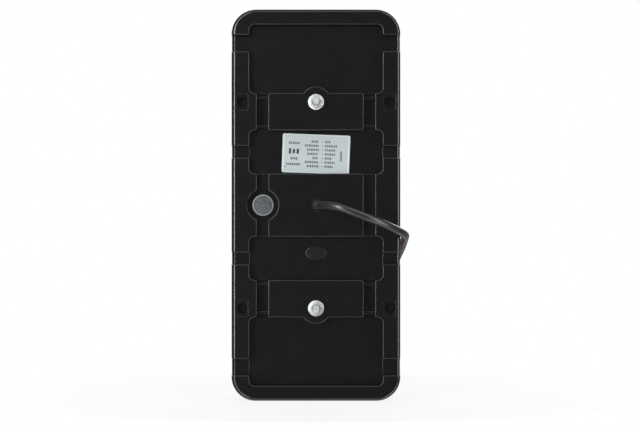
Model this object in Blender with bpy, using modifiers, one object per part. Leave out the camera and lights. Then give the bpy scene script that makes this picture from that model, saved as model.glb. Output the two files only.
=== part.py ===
"""Multi-function LED rear combination lamp for a truck or trailer, standing on its lower end.

The mounting side faces -Y, the lens faces +Y and +Z is up. The origin is at the middle of the
bottom of the lamp's box, measured without its cable. Depths are measured from the rear plane,
which lies on the vehicle when the lamp is fitted, and grow towards the lens. Places on the lamp
are given by x and by z from its middle height. All sizes are in metres.
"""

import math

import bmesh
import bpy
from mathutils import Matrix, Vector

# Overall size
WIDTH = 0.1246
HEIGHT = 0.289
DEPTH = 0.040
CORNER_RADIUS = 0.0177
STUD_LENGTH_OUT = 0.020
REAR_Y = (STUD_LENGTH_OUT - DEPTH) / 2
MID_Z = HEIGHT / 2
HALF_WIDTH = WIDTH / 2
HALF_HEIGHT = HEIGHT / 2
GAP = 0.0003
OVERSHOOT = 0.002
SHARP_ANGLE = math.radians(35)

# Relief of the back: how far in each level lies, and where its edges run
POCKET_DEPTH = 0.0075
TOP_POCKET_DEPTH = 0.006
NOTCH_DEPTH = 0.006
CHANNEL_DEPTH = 0.006
DEEP_CHANNEL_DEPTH = 0.0085
REAR_EDGE_RADIUS = 0.003
POCKET_HALF_WIDTH = 0.050
POCKET_CORNER = 0.004
OUTER_POCKET = (0.0827, 0.1342)
INNER_POCKET = (0.0231, 0.0556)
CHANNEL = (0.0349, 0.0444)
OUTER_NOTCH = (0.1134, 0.126)
INNER_NOTCH = (0.0348, 0.0444)
CHANNEL_RIBS = ((0.0578, 0.0594), (0.0785, 0.0804))
PAD_PLACE = (0.0544, 0.076)
PAD_SIZE = (0.009, 0.0125)
PAD_DEPTH = 0.0005
PAD_HOLE_RADIUS = 0.0032
PAD_HOLE_DEPTH = 0.005
OVAL_PLACE = -0.0354
OVAL_RADII = (0.008, 0.005)
OVAL_HEIGHT = 0.0008

# Moulding of the housing
BACK_WALL = 0.0025
CAVITY_DEPTH = 0.0105
LEDGE_DEPTH = 0.0235
RIM_DEPTH = 0.0265
LEDGE_WALL = 0.0025
SIDE_WALL = 0.004

# Fixings, M5 with a pitch of 0.8 mm
STUD_Z = 0.076
STUD_RADIUS = 0.0025
STUD_BORE = 0.0028
STUD_TIP_CHAMFER = 0.0006
BOSS_RADIUS = 0.0115
BOSS_INSIDE = 0.011
SPOT_FACE_DEPTH = 0.0003
STUD_HEAD_RADIUS = 0.0055
STUD_HEAD_THICKNESS = 0.0025
SEAL_RADIUS = 0.0052
SEAL_THICKNESS = 0.001
WASHER_RADIUS = 0.00615
WASHER_THICKNESS = 0.0012
NUT_ACROSS_FLATS = 0.008
NUT_HEIGHT = 0.0045

# Breather in the left channel
VENT_X = -0.0396
VENT_RECESS_RADIUS = 0.0121
VENT_CAP_RADIUS = 0.008
VENT_RIM = 0.0014
VENT_CAP_HEIGHT = 0.0016
VENT_CUP = 0.0008
VENT_BORE = 0.0025

# Label in the upper inner pocket, stuck on a little crooked
LABEL_SIZE = (0.050, 0.0288)
LABEL_Z = 0.0387
LABEL_TURN = math.radians(2.2)
LABEL_THICKNESS = 0.00025
LABEL_CORNER = 0.0015

# Lens and what lies under it
LENS_WALL = 0.0025
LENS_EDGE = 0.005
GASKET_THICKNESS = 0.0008
GASKET_WIDTH = 0.0017
LENS_SPLITS = (0.048, -0.048, -0.096)
REFLEX_SIZE = (0.104, 0.021)
REFLEX_CORNER = 0.002
REFLEX_THICKNESS = 0.0037
TRAY_THICKNESS = 0.0015
CUP_BASE_DEPTH = 0.0196
CUP_BASE_RADIUS = 0.0036
CUP_SLOPE = 2.26
CUP_WALL = 0.0016
COLUMNS = (-0.036, 0.0, 0.036)
LED_ROWS = {
    "indicator": (0.114, 0.073),
    "stop_tail": (0.029, -0.029),
    "reverse": (-0.072,),
    "fog": (-0.118,),
}
LED_SIDE = 0.005
LED_HEIGHT = 0.0014
LED_CHAMFER = 0.0007

# Circuit board
BOARD_DEPTH = 0.016
BOARD_THICKNESS = 0.0016
BOARD_SIZE = (0.112, 0.276)
BOARD_CORNER = 0.012
BOARD_SCREWS = ((-0.018, 0.094), (0.018, 0.094), (-0.018, -0.094), (0.018, -0.094))
POST_RADIUS = 0.0035
POST_BORE = 0.0014
POST_BORE_DEPTH = 0.011
SCREW_RADIUS = 0.0011
SCREW_HEAD_RADIUS = 0.0028
SCREW_HEAD_HEIGHT = 0.0016
SCREW_END_DEPTH = 0.0115

# Driver parts on the back of the board
CHIP_PLACE = (-0.020, -0.010)
CHIP_SIZE = (0.010, 0.008)
CHIP_HEIGHT = 0.0024
HEADER_SIZE = (0.014, 0.010)
INDUCTOR_PLACE = (0.020, 0.010)
INDUCTOR_RADIUS = 0.0045
INDUCTOR_HEIGHT = 0.005
CAPACITOR_PLACE = (-0.018, 0.008)
CAPACITOR_RADIUS = 0.004
CAPACITOR_HEIGHT = 0.009

# Cable: seven cores in a round sheath
CABLE_RADIUS = 0.003
CABLE_X = 0.001
CABLE_HOLE_RADIUS = 0.0042
GROMMET_BORE = 0.0033
GROMMET_INSET = 0.0008
GROMMET_FLANGE = 0.006
GROMMET_FLANGE_THICKNESS = 0.0015
TIE_OUTER = 0.0046
TIE_WIDTH = 0.0025
INNER_CABLE_END = 0.012
CORE_RADIUS = 0.0007
CORE_PITCH = 0.00175
CORE_LENGTH = 0.045
CORE_SPREAD = 0.0019
CORE_FIRST = -0.0023
CORE_STEPS = 9
CORE_NAMES = ("red", "yellow", "black", "brown", "blue", "green", "white")

# The cable's way from the hole, over the right edge, down behind the lens to the floor
CABLE_ROUTE = (
    (0.0010, -0.0103, 0.1445),
    (0.0010, -0.0145, 0.1445),
    (0.0028, -0.0238, 0.1445),
    (0.0088, -0.0322, 0.1442),
    (0.0178, -0.0372, 0.1426),
    (0.0275, -0.0382, 0.1391),
    (0.0372, -0.0368, 0.1354),
    (0.0466, -0.0324, 0.1317),
    (0.0554, -0.0256, 0.1279),
    (0.0624, -0.0162, 0.1245),
    (0.0660, -0.0045, 0.1221),
    (0.0666, 0.0080, 0.1205),
    (0.0666, 0.0200, 0.1179),
    (0.0654, 0.0310, 0.1126),
    (0.0620, 0.0382, 0.1042),
    (0.0580, 0.0414, 0.0935),
    (0.0550, 0.0424, 0.0815),
    (0.0529, 0.0424, 0.0685),
    (0.0516, 0.0422, 0.0550),
    (0.0506, 0.0426, 0.0415),
    (0.0500, 0.0448, 0.0280),
    (0.0495, 0.0502, 0.0160),
    (0.0492, 0.0582, 0.0076),
    (0.0490, 0.0660, 0.0040),
    (0.0490, 0.0704, 0.0031),
    (0.0490, 0.0728, 0.0030),
    (0.0490, 0.0748, 0.0030),
)
ROUTE_STEP = 0.008
ROUTE_SAMPLES = 20

# The coil that holds the rest of the cable, lying on the floor with its second pass on the first
COIL_RADIUS = 0.030
COIL_RISE = 0.0067
COIL_CLIMB = (math.radians(180), math.radians(300))
COIL_TURNS = 1.25
COIL_STEPS = 24
COIL_LEAD = 0.006
COIL_HUMP = 0.0016
COIL_TIE_ANGLE = math.radians(45)
COIL_TIE_WALL = 0.001
COIL_TIE_WIDTH = 0.004
COIL_TIE_CLEARANCE = 0.0004
COIL_TIE_LOCK = (0.004, 0.006, 0.006)

# Colours, roughness and metallic value of each material
FINISHES = {
    "black_housing": ((0.013, 0.013, 0.014), 0.45, 0.0),
    "zinc_plated_steel": ((0.55, 0.56, 0.57), 0.35, 1.0),
    "amber_acrylic": ((0.85, 0.30, 0.01), 0.1, 0.0),
    "red_acrylic": ((0.55, 0.01, 0.01), 0.1, 0.0),
    "clear_acrylic": ((0.85, 0.87, 0.88), 0.1, 0.0),
    "metallised_plastic": ((0.8, 0.8, 0.82), 0.15, 1.0),
    "circuit_board": ((0.02, 0.12, 0.05), 0.4, 0.0),
    "led_package": ((0.85, 0.8, 0.45), 0.3, 0.0),
    "black_rubber": ((0.012, 0.012, 0.012), 0.8, 0.0),
    "black_sheath": ((0.016, 0.016, 0.017), 0.5, 0.0),
    "grey_vent": ((0.13, 0.13, 0.13), 0.85, 0.0),
    "pale_label": ((0.62, 0.64, 0.66), 0.5, 0.0),
    "nylon_tie": ((0.02, 0.02, 0.02), 0.5, 0.0),
    "component_black": ((0.02, 0.02, 0.02), 0.5, 0.0),
    "core_red": ((0.5, 0.02, 0.02), 0.4, 0.0),
    "core_yellow": ((0.75, 0.5, 0.02), 0.4, 0.0),
    "core_black": ((0.015, 0.015, 0.015), 0.4, 0.0),
    "core_brown": ((0.12, 0.045, 0.02), 0.4, 0.0),
    "core_blue": ((0.02, 0.08, 0.4), 0.4, 0.0),
    "core_green": ((0.02, 0.25, 0.05), 0.4, 0.0),
    "core_white": ((0.75, 0.75, 0.73), 0.4, 0.0),
}

for old in list(bpy.data.objects):
    bpy.data.objects.remove(old)

LAMP = bpy.data.collections.new("rear_combination_lamp")
CUTTERS = bpy.data.collections.new("cutters")
bpy.context.scene.collection.children.link(LAMP)
bpy.context.scene.collection.children.link(CUTTERS)


def make_materials():
    """One Principled BSDF material for each finish."""
    for name, (colour, roughness, metallic) in FINISHES.items():
        material = bpy.data.materials.new(name)
        material.use_nodes = True
        shader = material.node_tree.nodes["Principled BSDF"]
        shader.inputs["Base Color"].default_value = (*colour, 1.0)
        shader.inputs["Roughness"].default_value = roughness
        shader.inputs["Metallic"].default_value = metallic


def place(x, depth, z):
    """The point at x, this far in from the rear plane, and z from the lamp's middle height."""
    return Vector((x, REAR_Y + depth, MID_Z + z))


def add_object(name, data, collection):
    """A new object of this mesh or curve in the collection."""
    made = bpy.data.objects.new(name, data)
    collection.objects.link(made)
    return made


def mesh_from(name, shape):
    """A smooth shaded mesh made from a bmesh, which is freed."""
    bmesh.ops.recalc_face_normals(shape, faces=shape.faces)
    mesh = bpy.data.meshes.new(name)
    shape.to_mesh(mesh)
    shape.free()
    mesh.shade_smooth()
    mesh.set_sharp_from_angle(angle=SHARP_ANGLE)
    return mesh


def add_part(name, data, finish):
    """A sub-part of the lamp with its material."""
    made = add_object(name, data, LAMP)
    data.materials.append(bpy.data.materials[finish])
    return made


def add_cutter(name, shape, group):
    """A helper solid, left out of the lamp itself."""
    made = add_object(name, mesh_from(name, shape), group)
    made.hide_render = True
    made.display_type = "WIRE"
    return made


def cutter_group(name):
    """A collection of helper solids that one Boolean takes together."""
    group = bpy.data.collections.new(name)
    CUTTERS.children.link(group)
    return group


def boolean(target, operation, other):
    """Adds a Boolean with one object, or with all the objects of a collection."""
    modifier = target.modifiers.new(operation.lower(), "BOOLEAN")
    modifier.operation = operation
    modifier.solver = "EXACT"
    if isinstance(other, bpy.types.Collection):
        modifier.operand_type = "COLLECTION"
        modifier.collection = other
    else:
        modifier.object = other


def bevel(shape, edges, radius, steps):
    """Rounds edges of a bmesh."""
    bmesh.ops.bevel(
        shape, geom=edges, offset=radius, offset_type="OFFSET", segments=steps,
        profile=0.5, affect="EDGES", clamp_overlap=False,
    )


def box(low, high):
    """A bmesh box between two corners."""
    shape = bmesh.new()
    bmesh.ops.create_cube(shape, size=1.0)
    middle = (low + high) / 2
    size = high - low
    bmesh.ops.scale(shape, vec=size, verts=shape.verts)
    bmesh.ops.translate(shape, vec=middle, verts=shape.verts)
    return shape


def edges_along(shape, axis):
    """The edges of a bmesh that run along one axis."""
    return [edge for edge in shape.edges
            if abs((edge.verts[0].co - edge.verts[1].co).normalized()[axis]) > 0.99]


def cap_edges(shape, y):
    """The edges round the flat face of a bmesh that lies at y."""
    caps = [face for face in shape.faces if all(abs(v.co.y - y) < 1e-6 for v in face.verts)]
    return [edge for face in caps for edge in face.edges]


def plate(x_range, z_range, depths, corner=0.0, steps=4):
    """A plate lying across the lamp, with its four upright corners rounded."""
    shape = box(place(x_range[0], depths[0], z_range[0]), place(x_range[1], depths[1], z_range[1]))
    if corner:
        bevel(shape, edges_along(shape, 1), corner, steps)
    return shape


def centred_plate(width, height, depths, corner=0.0, steps=4):
    """A plate about the lamp's middle."""
    half_x = width / 2
    half_z = height / 2
    return plate((-half_x, half_x), (-half_z, half_z), depths, corner, steps)


def rod(x, z, depths, radii, sides=24, shape=None):
    """A cylinder or cone along the lamp's depth, added to a bmesh if one is given."""
    shape = shape or bmesh.new()
    middle = place(x, (depths[0] + depths[1]) / 2, z)
    turn = Matrix.Rotation(-math.pi / 2, 4, "X")
    bmesh.ops.create_cone(
        shape, cap_ends=True, segments=sides, radius1=radii[0], radius2=radii[1],
        depth=depths[1] - depths[0], matrix=Matrix.Translation(middle) @ turn,
    )
    return shape


def turned(name, profile, x, z, finish, closed=False, steps=24):
    """A piece turned about an axis square to the rear plane.

    The profile is a list of (radius, depth) from the rear end to the front end down its outer side.
    A closed profile leaves a bore along the axis.
    """
    points = [(radius, 0.0, -depth) for radius, depth in profile]
    edges = [(i, i + 1) for i in range(len(points) - 1)]
    if closed:
        edges.append((len(points) - 1, 0))
    mesh = bpy.data.meshes.new(name)
    mesh.from_pydata(points, edges, [])
    made = add_part(name, mesh, finish)
    made.location = place(x, 0.0, z)
    made.rotation_euler = (math.pi / 2, 0.0, 0.0)
    screw = made.modifiers.new("turn", "SCREW")
    screw.axis = "Z"
    screw.steps = steps
    screw.render_steps = steps
    screw.use_merge_vertices = True
    screw.merge_threshold = 0.00001
    screw.use_smooth_shade = True
    return made


def ring(name, bore, radius, depths, x, z, finish):
    """A plain turned ring."""
    profile = [(bore, depths[0]), (radius, depths[0]), (radius, depths[1]), (bore, depths[1])]
    return turned(name, profile, x, z, finish, closed=True)


def mirrored(span, side):
    """A range of z or x on the chosen side of the middle, low end first."""
    return tuple(sorted(side * value for value in span))


def relief_cutters():
    """Everything cut into the back and the inside of the housing."""
    group = cutter_group("housing_relief")
    across = (-POCKET_HALF_WIDTH, POCKET_HALF_WIDTH)
    for side, word in ((1, "upper"), (-1, "lower")):
        depth = TOP_POCKET_DEPTH if side > 0 else POCKET_DEPTH
        outer = plate(across, mirrored(OUTER_POCKET, side), (-OVERSHOOT, depth), POCKET_CORNER)
        add_cutter(f"{word}_outer_pocket", outer, group)
        inner = plate(across, mirrored(INNER_POCKET, side), (-OVERSHOOT, POCKET_DEPTH), POCKET_CORNER)
        add_cutter(f"{word}_inner_pocket", inner, group)
        core_z = (INNER_POCKET[1] + BACK_WALL, OUTER_POCKET[0] - BACK_WALL)
        core_x = (-CHANNEL[0] + BACK_WALL, CHANNEL[0] - BACK_WALL)
        core = plate(core_x, mirrored(core_z, side), (BACK_WALL, CAVITY_DEPTH + GAP))
        add_cutter(f"{word}_band_core", core, group)
        for hand in (-1, 1):
            deep_z = (INNER_POCKET[1] - GAP, OUTER_POCKET[0] + GAP)
            deep = plate(mirrored(CHANNEL, hand), mirrored(deep_z, side), (-OVERSHOOT, DEEP_CHANNEL_DEPTH))
            add_cutter(f"{word}_channel_{hand}", deep, group)
            reach = (POCKET_HALF_WIDTH - GAP, HALF_WIDTH + OVERSHOOT)
            for label, span in (("outer", OUTER_NOTCH), ("inner", INNER_NOTCH)):
                notch = plate(mirrored(reach, hand), mirrored(span, side), (-OVERSHOOT, NOTCH_DEPTH))
                add_cutter(f"{word}_{label}_notch_{hand}", notch, group)
            pad_x = (PAD_PLACE[0] - PAD_SIZE[0] / 2, PAD_PLACE[0] + PAD_SIZE[0] / 2)
            pad_z = (PAD_PLACE[1] - PAD_SIZE[1] / 2, PAD_PLACE[1] + PAD_SIZE[1] / 2)
            pad = plate(mirrored(pad_x, hand), mirrored(pad_z, side), (-OVERSHOOT, PAD_DEPTH))
            add_cutter(f"{word}_pad_{hand}", pad, group)
    for hand in (-1, 1):
        middle_z = INNER_POCKET[0] + GAP
        middle = plate(mirrored(CHANNEL, hand), (-middle_z, middle_z), (-OVERSHOOT, CHANNEL_DEPTH))
        add_cutter(f"middle_channel_{hand}", middle, group)
    vent = rod(VENT_X, 0.0, (-OVERSHOOT, POCKET_DEPTH), (VENT_RECESS_RADIUS,) * 2, 32)
    add_cutter("vent_recess", vent, group)
    core_x = (VENT_X + VENT_RECESS_RADIUS + BACK_WALL, CHANNEL[0] - BACK_WALL)
    core_z = INNER_POCKET[0] - BACK_WALL
    core = plate(core_x, (-core_z, core_z), (BACK_WALL, CAVITY_DEPTH + GAP))
    add_cutter("middle_band_core", core, group)
    for word, wall, start in (("cavity", SIDE_WALL, CAVITY_DEPTH), ("ledge", LEDGE_WALL, LEDGE_DEPTH)):
        depths = (start, RIM_DEPTH + OVERSHOOT)
        hollow = centred_plate(WIDTH - 2 * wall, HEIGHT - 2 * wall, depths, CORNER_RADIUS - wall, 5)
        add_cutter(word, hollow, group)
    return group


def raised_shapes():
    """What stands up from the cut floors: stud bosses, channel ribs, board posts and an oval boss."""
    group = cutter_group("housing_raised")
    for side, word in ((1, "upper"), (-1, "lower")):
        boss = rod(0.0, side * STUD_Z, (-OVERSHOOT / 2, BOSS_INSIDE), (BOSS_RADIUS,) * 2, 32)
        add_cutter(f"{word}_stud_boss", boss, group)
        for hand in (-1, 1):
            across = (CHANNEL[0] - 2 * GAP, CHANNEL[1] + 2 * GAP)
            for number, span in enumerate(CHANNEL_RIBS, 1):
                depths = (CHANNEL_DEPTH, DEEP_CHANNEL_DEPTH + GAP)
                rib = plate(mirrored(across, hand), mirrored(span, side), depths)
                add_cutter(f"{word}_rib_{number}_{hand}", rib, group)
    for number, (x, z) in enumerate(BOARD_SCREWS, 1):
        post = rod(x, z, (CAVITY_DEPTH - GAP, BOARD_DEPTH - GAP), (POST_RADIUS,) * 2, 16)
        add_cutter(f"board_post_{number}", post, group)
    oval = rod(0.0, OVAL_PLACE, (POCKET_DEPTH - OVAL_HEIGHT, POCKET_DEPTH + GAP), (1.0, 1.0), 24)
    stretch = Vector((OVAL_RADII[0], 1.0, OVAL_RADII[1]))
    about = Matrix.Translation(-place(0.0, 0.0, OVAL_PLACE))
    bmesh.ops.scale(oval, vec=stretch, space=about, verts=oval.verts)
    add_cutter("oval_boss", oval, group)
    return group


def bores():
    """The round holes of the housing."""
    group = cutter_group("housing_bores")
    for side, word in ((1, "upper"), (-1, "lower")):
        face = (BOSS_RADIUS + GAP,) * 2
        spot = rod(0.0, side * STUD_Z, (-2 * OVERSHOOT, SPOT_FACE_DEPTH), face, 32)
        add_cutter(f"{word}_spot_face", spot, group)
        hole = rod(0.0, side * STUD_Z, (-2 * OVERSHOOT, BOSS_INSIDE + OVERSHOOT), (STUD_BORE,) * 2)
        add_cutter(f"{word}_stud_hole", hole, group)
        for hand in (-1, 1):
            depths = (-OVERSHOOT, PAD_HOLE_DEPTH)
            blind = rod(hand * PAD_PLACE[0], side * PAD_PLACE[1], depths, (PAD_HOLE_RADIUS,) * 2, 16)
            add_cutter(f"{word}_pad_hole_{hand}", blind, group)
    outlet = rod(CABLE_X, 0.0, (-OVERSHOOT, BACK_WALL + OVERSHOOT), (CABLE_HOLE_RADIUS,) * 2)
    add_cutter("cable_hole", outlet, group)
    vent = rod(VENT_X, 0.0, (POCKET_DEPTH - OVERSHOOT, CAVITY_DEPTH + OVERSHOOT), (VENT_BORE,) * 2, 16)
    add_cutter("vent_hole", vent, group)
    for number, (x, z) in enumerate(BOARD_SCREWS, 1):
        thread = rod(x, z, (POST_BORE_DEPTH, BOARD_DEPTH + OVERSHOOT), (POST_BORE,) * 2, 12)
        add_cutter(f"post_hole_{number}", thread, group)
    return group


def make_housing():
    """The moulded back: a rounded block, cut on both sides."""
    shape = centred_plate(WIDTH, HEIGHT, (0.0, RIM_DEPTH), CORNER_RADIUS, 6)
    bevel(shape, cap_edges(shape, REAR_Y), REAR_EDGE_RADIUS, 3)
    housing = add_part("housing", mesh_from("housing", shape), "black_housing")
    boolean(housing, "DIFFERENCE", relief_cutters())
    boolean(housing, "UNION", raised_shapes())
    boolean(housing, "DIFFERENCE", bores())


def make_lens():
    """One tray shaped lens, split into its four coloured fields, and the gasket behind it."""
    rear = RIM_DEPTH + GASKET_THICKNESS + 2 * GAP
    shape = centred_plate(WIDTH, HEIGHT, (rear, DEPTH), CORNER_RADIUS, 6)
    bevel(shape, cap_edges(shape, REAR_Y + DEPTH), LENS_EDGE, 3)
    lens_mesh = mesh_from("lens", shape)
    inner_width = WIDTH - 2 * LENS_WALL
    inner_height = HEIGHT - 2 * LENS_WALL
    inner_depths = (rear - OVERSHOOT, DEPTH - LENS_WALL)
    inside = centred_plate(inner_width, inner_height, inner_depths, CORNER_RADIUS - LENS_WALL, 6)
    bevel(inside, cap_edges(inside, REAR_Y + DEPTH - LENS_WALL), LENS_EDGE - LENS_WALL, 3)
    hollow = add_cutter("lens_hollow", inside, CUTTERS)
    edges = (HALF_HEIGHT + OVERSHOOT, *LENS_SPLITS, -HALF_HEIGHT - OVERSHOOT)
    fields = (("indicator", "amber"), ("stop_tail", "red"), ("reverse", "clear"), ("fog", "red"))
    for (name, colour), top, bottom in zip(fields, edges, edges[1:]):
        lens = add_part(f"lens_{name}", lens_mesh.copy(), f"{colour}_acrylic")
        boolean(lens, "DIFFERENCE", hollow)
        across = (-HALF_WIDTH - OVERSHOOT, HALF_WIDTH + OVERSHOOT)
        slab = plate(across, (bottom + GAP / 2, top - GAP / 2), (rear - OVERSHOOT, DEPTH + OVERSHOOT))
        boolean(lens, "INTERSECT", add_cutter(f"lens_{name}_field", slab, CUTTERS))
    seal_depths = (RIM_DEPTH + GAP, RIM_DEPTH + GAP + GASKET_THICKNESS)
    outer = centred_plate(WIDTH - 2 * GAP, HEIGHT - 2 * GAP, seal_depths, CORNER_RADIUS - GAP, 5)
    gasket = add_part("lens_gasket", mesh_from("lens_gasket", outer), "black_rubber")
    edge = GAP + GASKET_WIDTH
    hole_depths = (RIM_DEPTH - OVERSHOOT, RIM_DEPTH + OVERSHOOT)
    hole = centred_plate(WIDTH - 2 * edge, HEIGHT - 2 * edge, hole_depths, CORNER_RADIUS - edge, 5)
    boolean(gasket, "DIFFERENCE", add_cutter("gasket_hole", hole, CUTTERS))
    front = DEPTH - LENS_WALL - GAP
    reflex = centred_plate(*REFLEX_SIZE, (front - REFLEX_THICKNESS, front), REFLEX_CORNER, 3)
    add_part("reflex_reflector", mesh_from("reflex_reflector", reflex), "red_acrylic")


def cup_radius(depth):
    """The inside radius of a reflector cup at this depth."""
    return CUP_BASE_RADIUS + CUP_SLOPE * (depth - CUP_BASE_DEPTH)


def led_places():
    """(field, x, z) of every LED."""
    return [(field, x, z) for field, rows in LED_ROWS.items() for z in rows for x in COLUMNS]


def make_tray():
    """The metallised tray: a plate on the housing's ledge with a cup for each LED."""
    rear = LEDGE_DEPTH + GAP
    front = rear + TRAY_THICKNESS
    edge = LEDGE_WALL + GAP
    shape = centred_plate(WIDTH - 2 * edge, HEIGHT - 2 * edge, (rear, front), CORNER_RADIUS - edge, 5)
    tray = add_part("reflector_tray", mesh_from("reflector_tray", shape), "metallised_plastic")
    bowls = bmesh.new()
    cuts = bmesh.new()
    seat = rear + TRAY_THICKNESS / 2
    below = CUP_BASE_DEPTH - GAP
    above = front + GAP
    for _, x, z in led_places():
        outer = (cup_radius(CUP_BASE_DEPTH) + CUP_WALL, cup_radius(seat) + CUP_WALL)
        rod(x, z, (CUP_BASE_DEPTH, seat), outer, 16, bowls)
        rod(x, z, (below, above), (cup_radius(below), cup_radius(above)), 16, cuts)
    boolean(tray, "UNION", add_cutter("cup_walls", bowls, CUTTERS))
    boolean(tray, "DIFFERENCE", add_cutter("cup_insides", cuts, CUTTERS))


def make_board():
    """The circuit board with its LEDs and its screws."""
    depths = (BOARD_DEPTH, BOARD_DEPTH + BOARD_THICKNESS)
    shape = centred_plate(*BOARD_SIZE, depths, BOARD_CORNER)
    board = add_part("led_board", mesh_from("led_board", shape), "circuit_board")
    holes = bmesh.new()
    face = depths[1] + GAP
    for number, (x, z) in enumerate(BOARD_SCREWS, 1):
        rod(x, z, (depths[0] - OVERSHOOT, depths[1] + OVERSHOOT), (POST_BORE,) * 2, 12, holes)
        profile = [
            (0.0, SCREW_END_DEPTH), (SCREW_RADIUS, SCREW_END_DEPTH), (SCREW_RADIUS, face),
            (SCREW_HEAD_RADIUS, face), (SCREW_HEAD_RADIUS, face + SCREW_HEAD_HEIGHT),
            (0.0, face + SCREW_HEAD_HEIGHT),
        ]
        turned(f"board_screw_{number}", profile, x, z, "zinc_plated_steel", steps=12)
    boolean(board, "DIFFERENCE", add_cutter("board_holes", holes, CUTTERS))
    counts = {}
    half = LED_SIDE / 2
    for field, x, z in led_places():
        counts[field] = counts.get(field, 0) + 1
        name = f"led_{field}_{counts[field]}"
        package = plate((x - half, x + half), (z - half, z + half), (face, face + LED_HEIGHT))
        bevel(package, cap_edges(package, REAR_Y + face + LED_HEIGHT), LED_CHAMFER, 1)
        add_part(name, mesh_from(name, package), "led_package")


def block_on_board(name, middle, size, start):
    """A moulded block on the back of the board, which starts at this depth."""
    x_range = (middle[0] - size[0] / 2, middle[0] + size[0] / 2)
    z_range = (middle[1] - size[1] / 2, middle[1] + size[1] / 2)
    shape = plate(x_range, z_range, (start, BOARD_DEPTH - GAP))
    add_part(name, mesh_from(name, shape), "component_black")


def can_on_board(name, middle, radius, height, finish):
    """A round part on the back of the board."""
    foot = BOARD_DEPTH - GAP
    shape = rod(*middle, (foot - height, foot), (radius, radius), 16)
    add_part(name, mesh_from(name, shape), finish)


def make_driver():
    """The wire header, and the parts that feed the LEDs."""
    block_on_board("regulator_chip", CHIP_PLACE, CHIP_SIZE, BOARD_DEPTH - GAP - CHIP_HEIGHT)
    block_on_board("wire_header", (CABLE_X, 0.0), HEADER_SIZE, INNER_CABLE_END + GAP)
    can_on_board("driver_inductor", INDUCTOR_PLACE, INDUCTOR_RADIUS, INDUCTOR_HEIGHT, "component_black")
    size = (CAPACITOR_RADIUS, CAPACITOR_HEIGHT)
    can_on_board("surge_capacitor", CAPACITOR_PLACE, *size, "metallised_plastic")


def make_fixing(word, z):
    """A stud with its seal, and the nut with its captive washer, all about one axis."""
    head = BOSS_INSIDE + 2 * GAP + SEAL_THICKNESS
    tip = -STUD_LENGTH_OUT
    shank = [
        (0.0, tip), (STUD_RADIUS - STUD_TIP_CHAMFER, tip), (STUD_RADIUS, tip + STUD_TIP_CHAMFER),
        (STUD_RADIUS, head), (STUD_HEAD_RADIUS, head), (STUD_HEAD_RADIUS, head + STUD_HEAD_THICKNESS),
        (0.0, head + STUD_HEAD_THICKNESS),
    ]
    turned(f"{word}_stud", shank, 0.0, z, "zinc_plated_steel")
    seal = (BOSS_INSIDE + GAP, BOSS_INSIDE + GAP + SEAL_THICKNESS)
    ring(f"{word}_stud_seal", STUD_BORE, SEAL_RADIUS, seal, 0.0, z, "black_rubber")
    seat = SPOT_FACE_DEPTH - GAP
    washer = (seat - WASHER_THICKNESS, seat)
    ring(f"{word}_washer", STUD_BORE, WASHER_RADIUS, washer, 0.0, z, "zinc_plated_steel")
    foot = washer[0] - GAP
    hexagon = bmesh.new()
    corner = NUT_ACROSS_FLATS / math.sqrt(3)
    bmesh.ops.create_cone(
        hexagon, cap_ends=True, segments=6, radius1=corner, radius2=corner, depth=NUT_HEIGHT,
        matrix=Matrix.Translation((0.0, 0.0, NUT_HEIGHT / 2 - foot)),
    )
    nut = add_part(f"{word}_nut", mesh_from(f"{word}_nut", hexagon), "zinc_plated_steel")
    nut.location = place(0.0, 0.0, z)
    nut.rotation_euler = (math.pi / 2, 0.0, 0.0)
    bore_depths = (foot - NUT_HEIGHT - OVERSHOOT, foot + OVERSHOOT)
    bore = rod(0.0, z, bore_depths, (STUD_BORE,) * 2)
    boolean(nut, "DIFFERENCE", add_cutter(f"{word}_nut_bore", bore, CUTTERS))


def make_vent():
    """The breather: a shallow cap on the recess floor with a porous disc in it."""
    seat = POCKET_DEPTH - GAP
    top = seat - VENT_CAP_HEIGHT
    floor = top + VENT_CUP
    cup = VENT_CAP_RADIUS - VENT_RIM
    profile = [
        (0.0, floor), (cup, floor), (cup, top),
        (VENT_CAP_RADIUS, top), (VENT_CAP_RADIUS, seat), (0.0, seat),
    ]
    turned("vent_cap", profile, VENT_X, 0.0, "grey_vent")
    disc = cup - GAP
    face = floor - 2 * GAP
    flat = [(0.0, face), (disc, face), (disc, floor - GAP), (0.0, floor - GAP)]
    turned("vent_membrane", flat, VENT_X, 0.0, "grey_vent")


def make_label():
    """The label on the floor of the upper inner pocket."""
    face = POCKET_DEPTH - GAP
    shape = centred_plate(*LABEL_SIZE, (face - LABEL_THICKNESS, face), LABEL_CORNER, 3)
    bmesh.ops.rotate(
        shape, cent=place(0.0, 0.0, 0.0), matrix=Matrix.Rotation(LABEL_TURN, 3, "Y"), verts=shape.verts
    )
    bmesh.ops.translate(shape, vec=(0.0, 0.0, LABEL_Z), verts=shape.verts)
    add_part("rating_label", mesh_from("rating_label", shape), "pale_label")


def smooth_route(points, step):
    """Points at an even step along a smooth curve through the given ones."""
    ends = [2 * points[0] - points[1], *points, 2 * points[-1] - points[-2]]
    fine = [points[0]]
    for before, start, end, after in zip(ends, ends[1:], ends[2:], ends[3:]):
        leave = start + (end - before) / 6
        arrive = end - (after - start) / 6
        for i in range(1, ROUTE_SAMPLES + 1):
            t = i / ROUTE_SAMPLES
            u = 1 - t
            fine.append(u ** 3 * start + 3 * u * u * t * leave + 3 * u * t * t * arrive + t ** 3 * end)
    total = length_of(fine)
    count = round(total / step)
    kept = [fine[0]]
    walked = 0.0
    for a, b in zip(fine, fine[1:]):
        walked += (b - a).length
        if walked >= len(kept) * total / count and len(kept) < count:
            kept.append(b)
    return [*kept, fine[-1]]


def length_of(points):
    """The length of a line through points."""
    return sum((b - a).length for a, b in zip(points, points[1:]))


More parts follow.
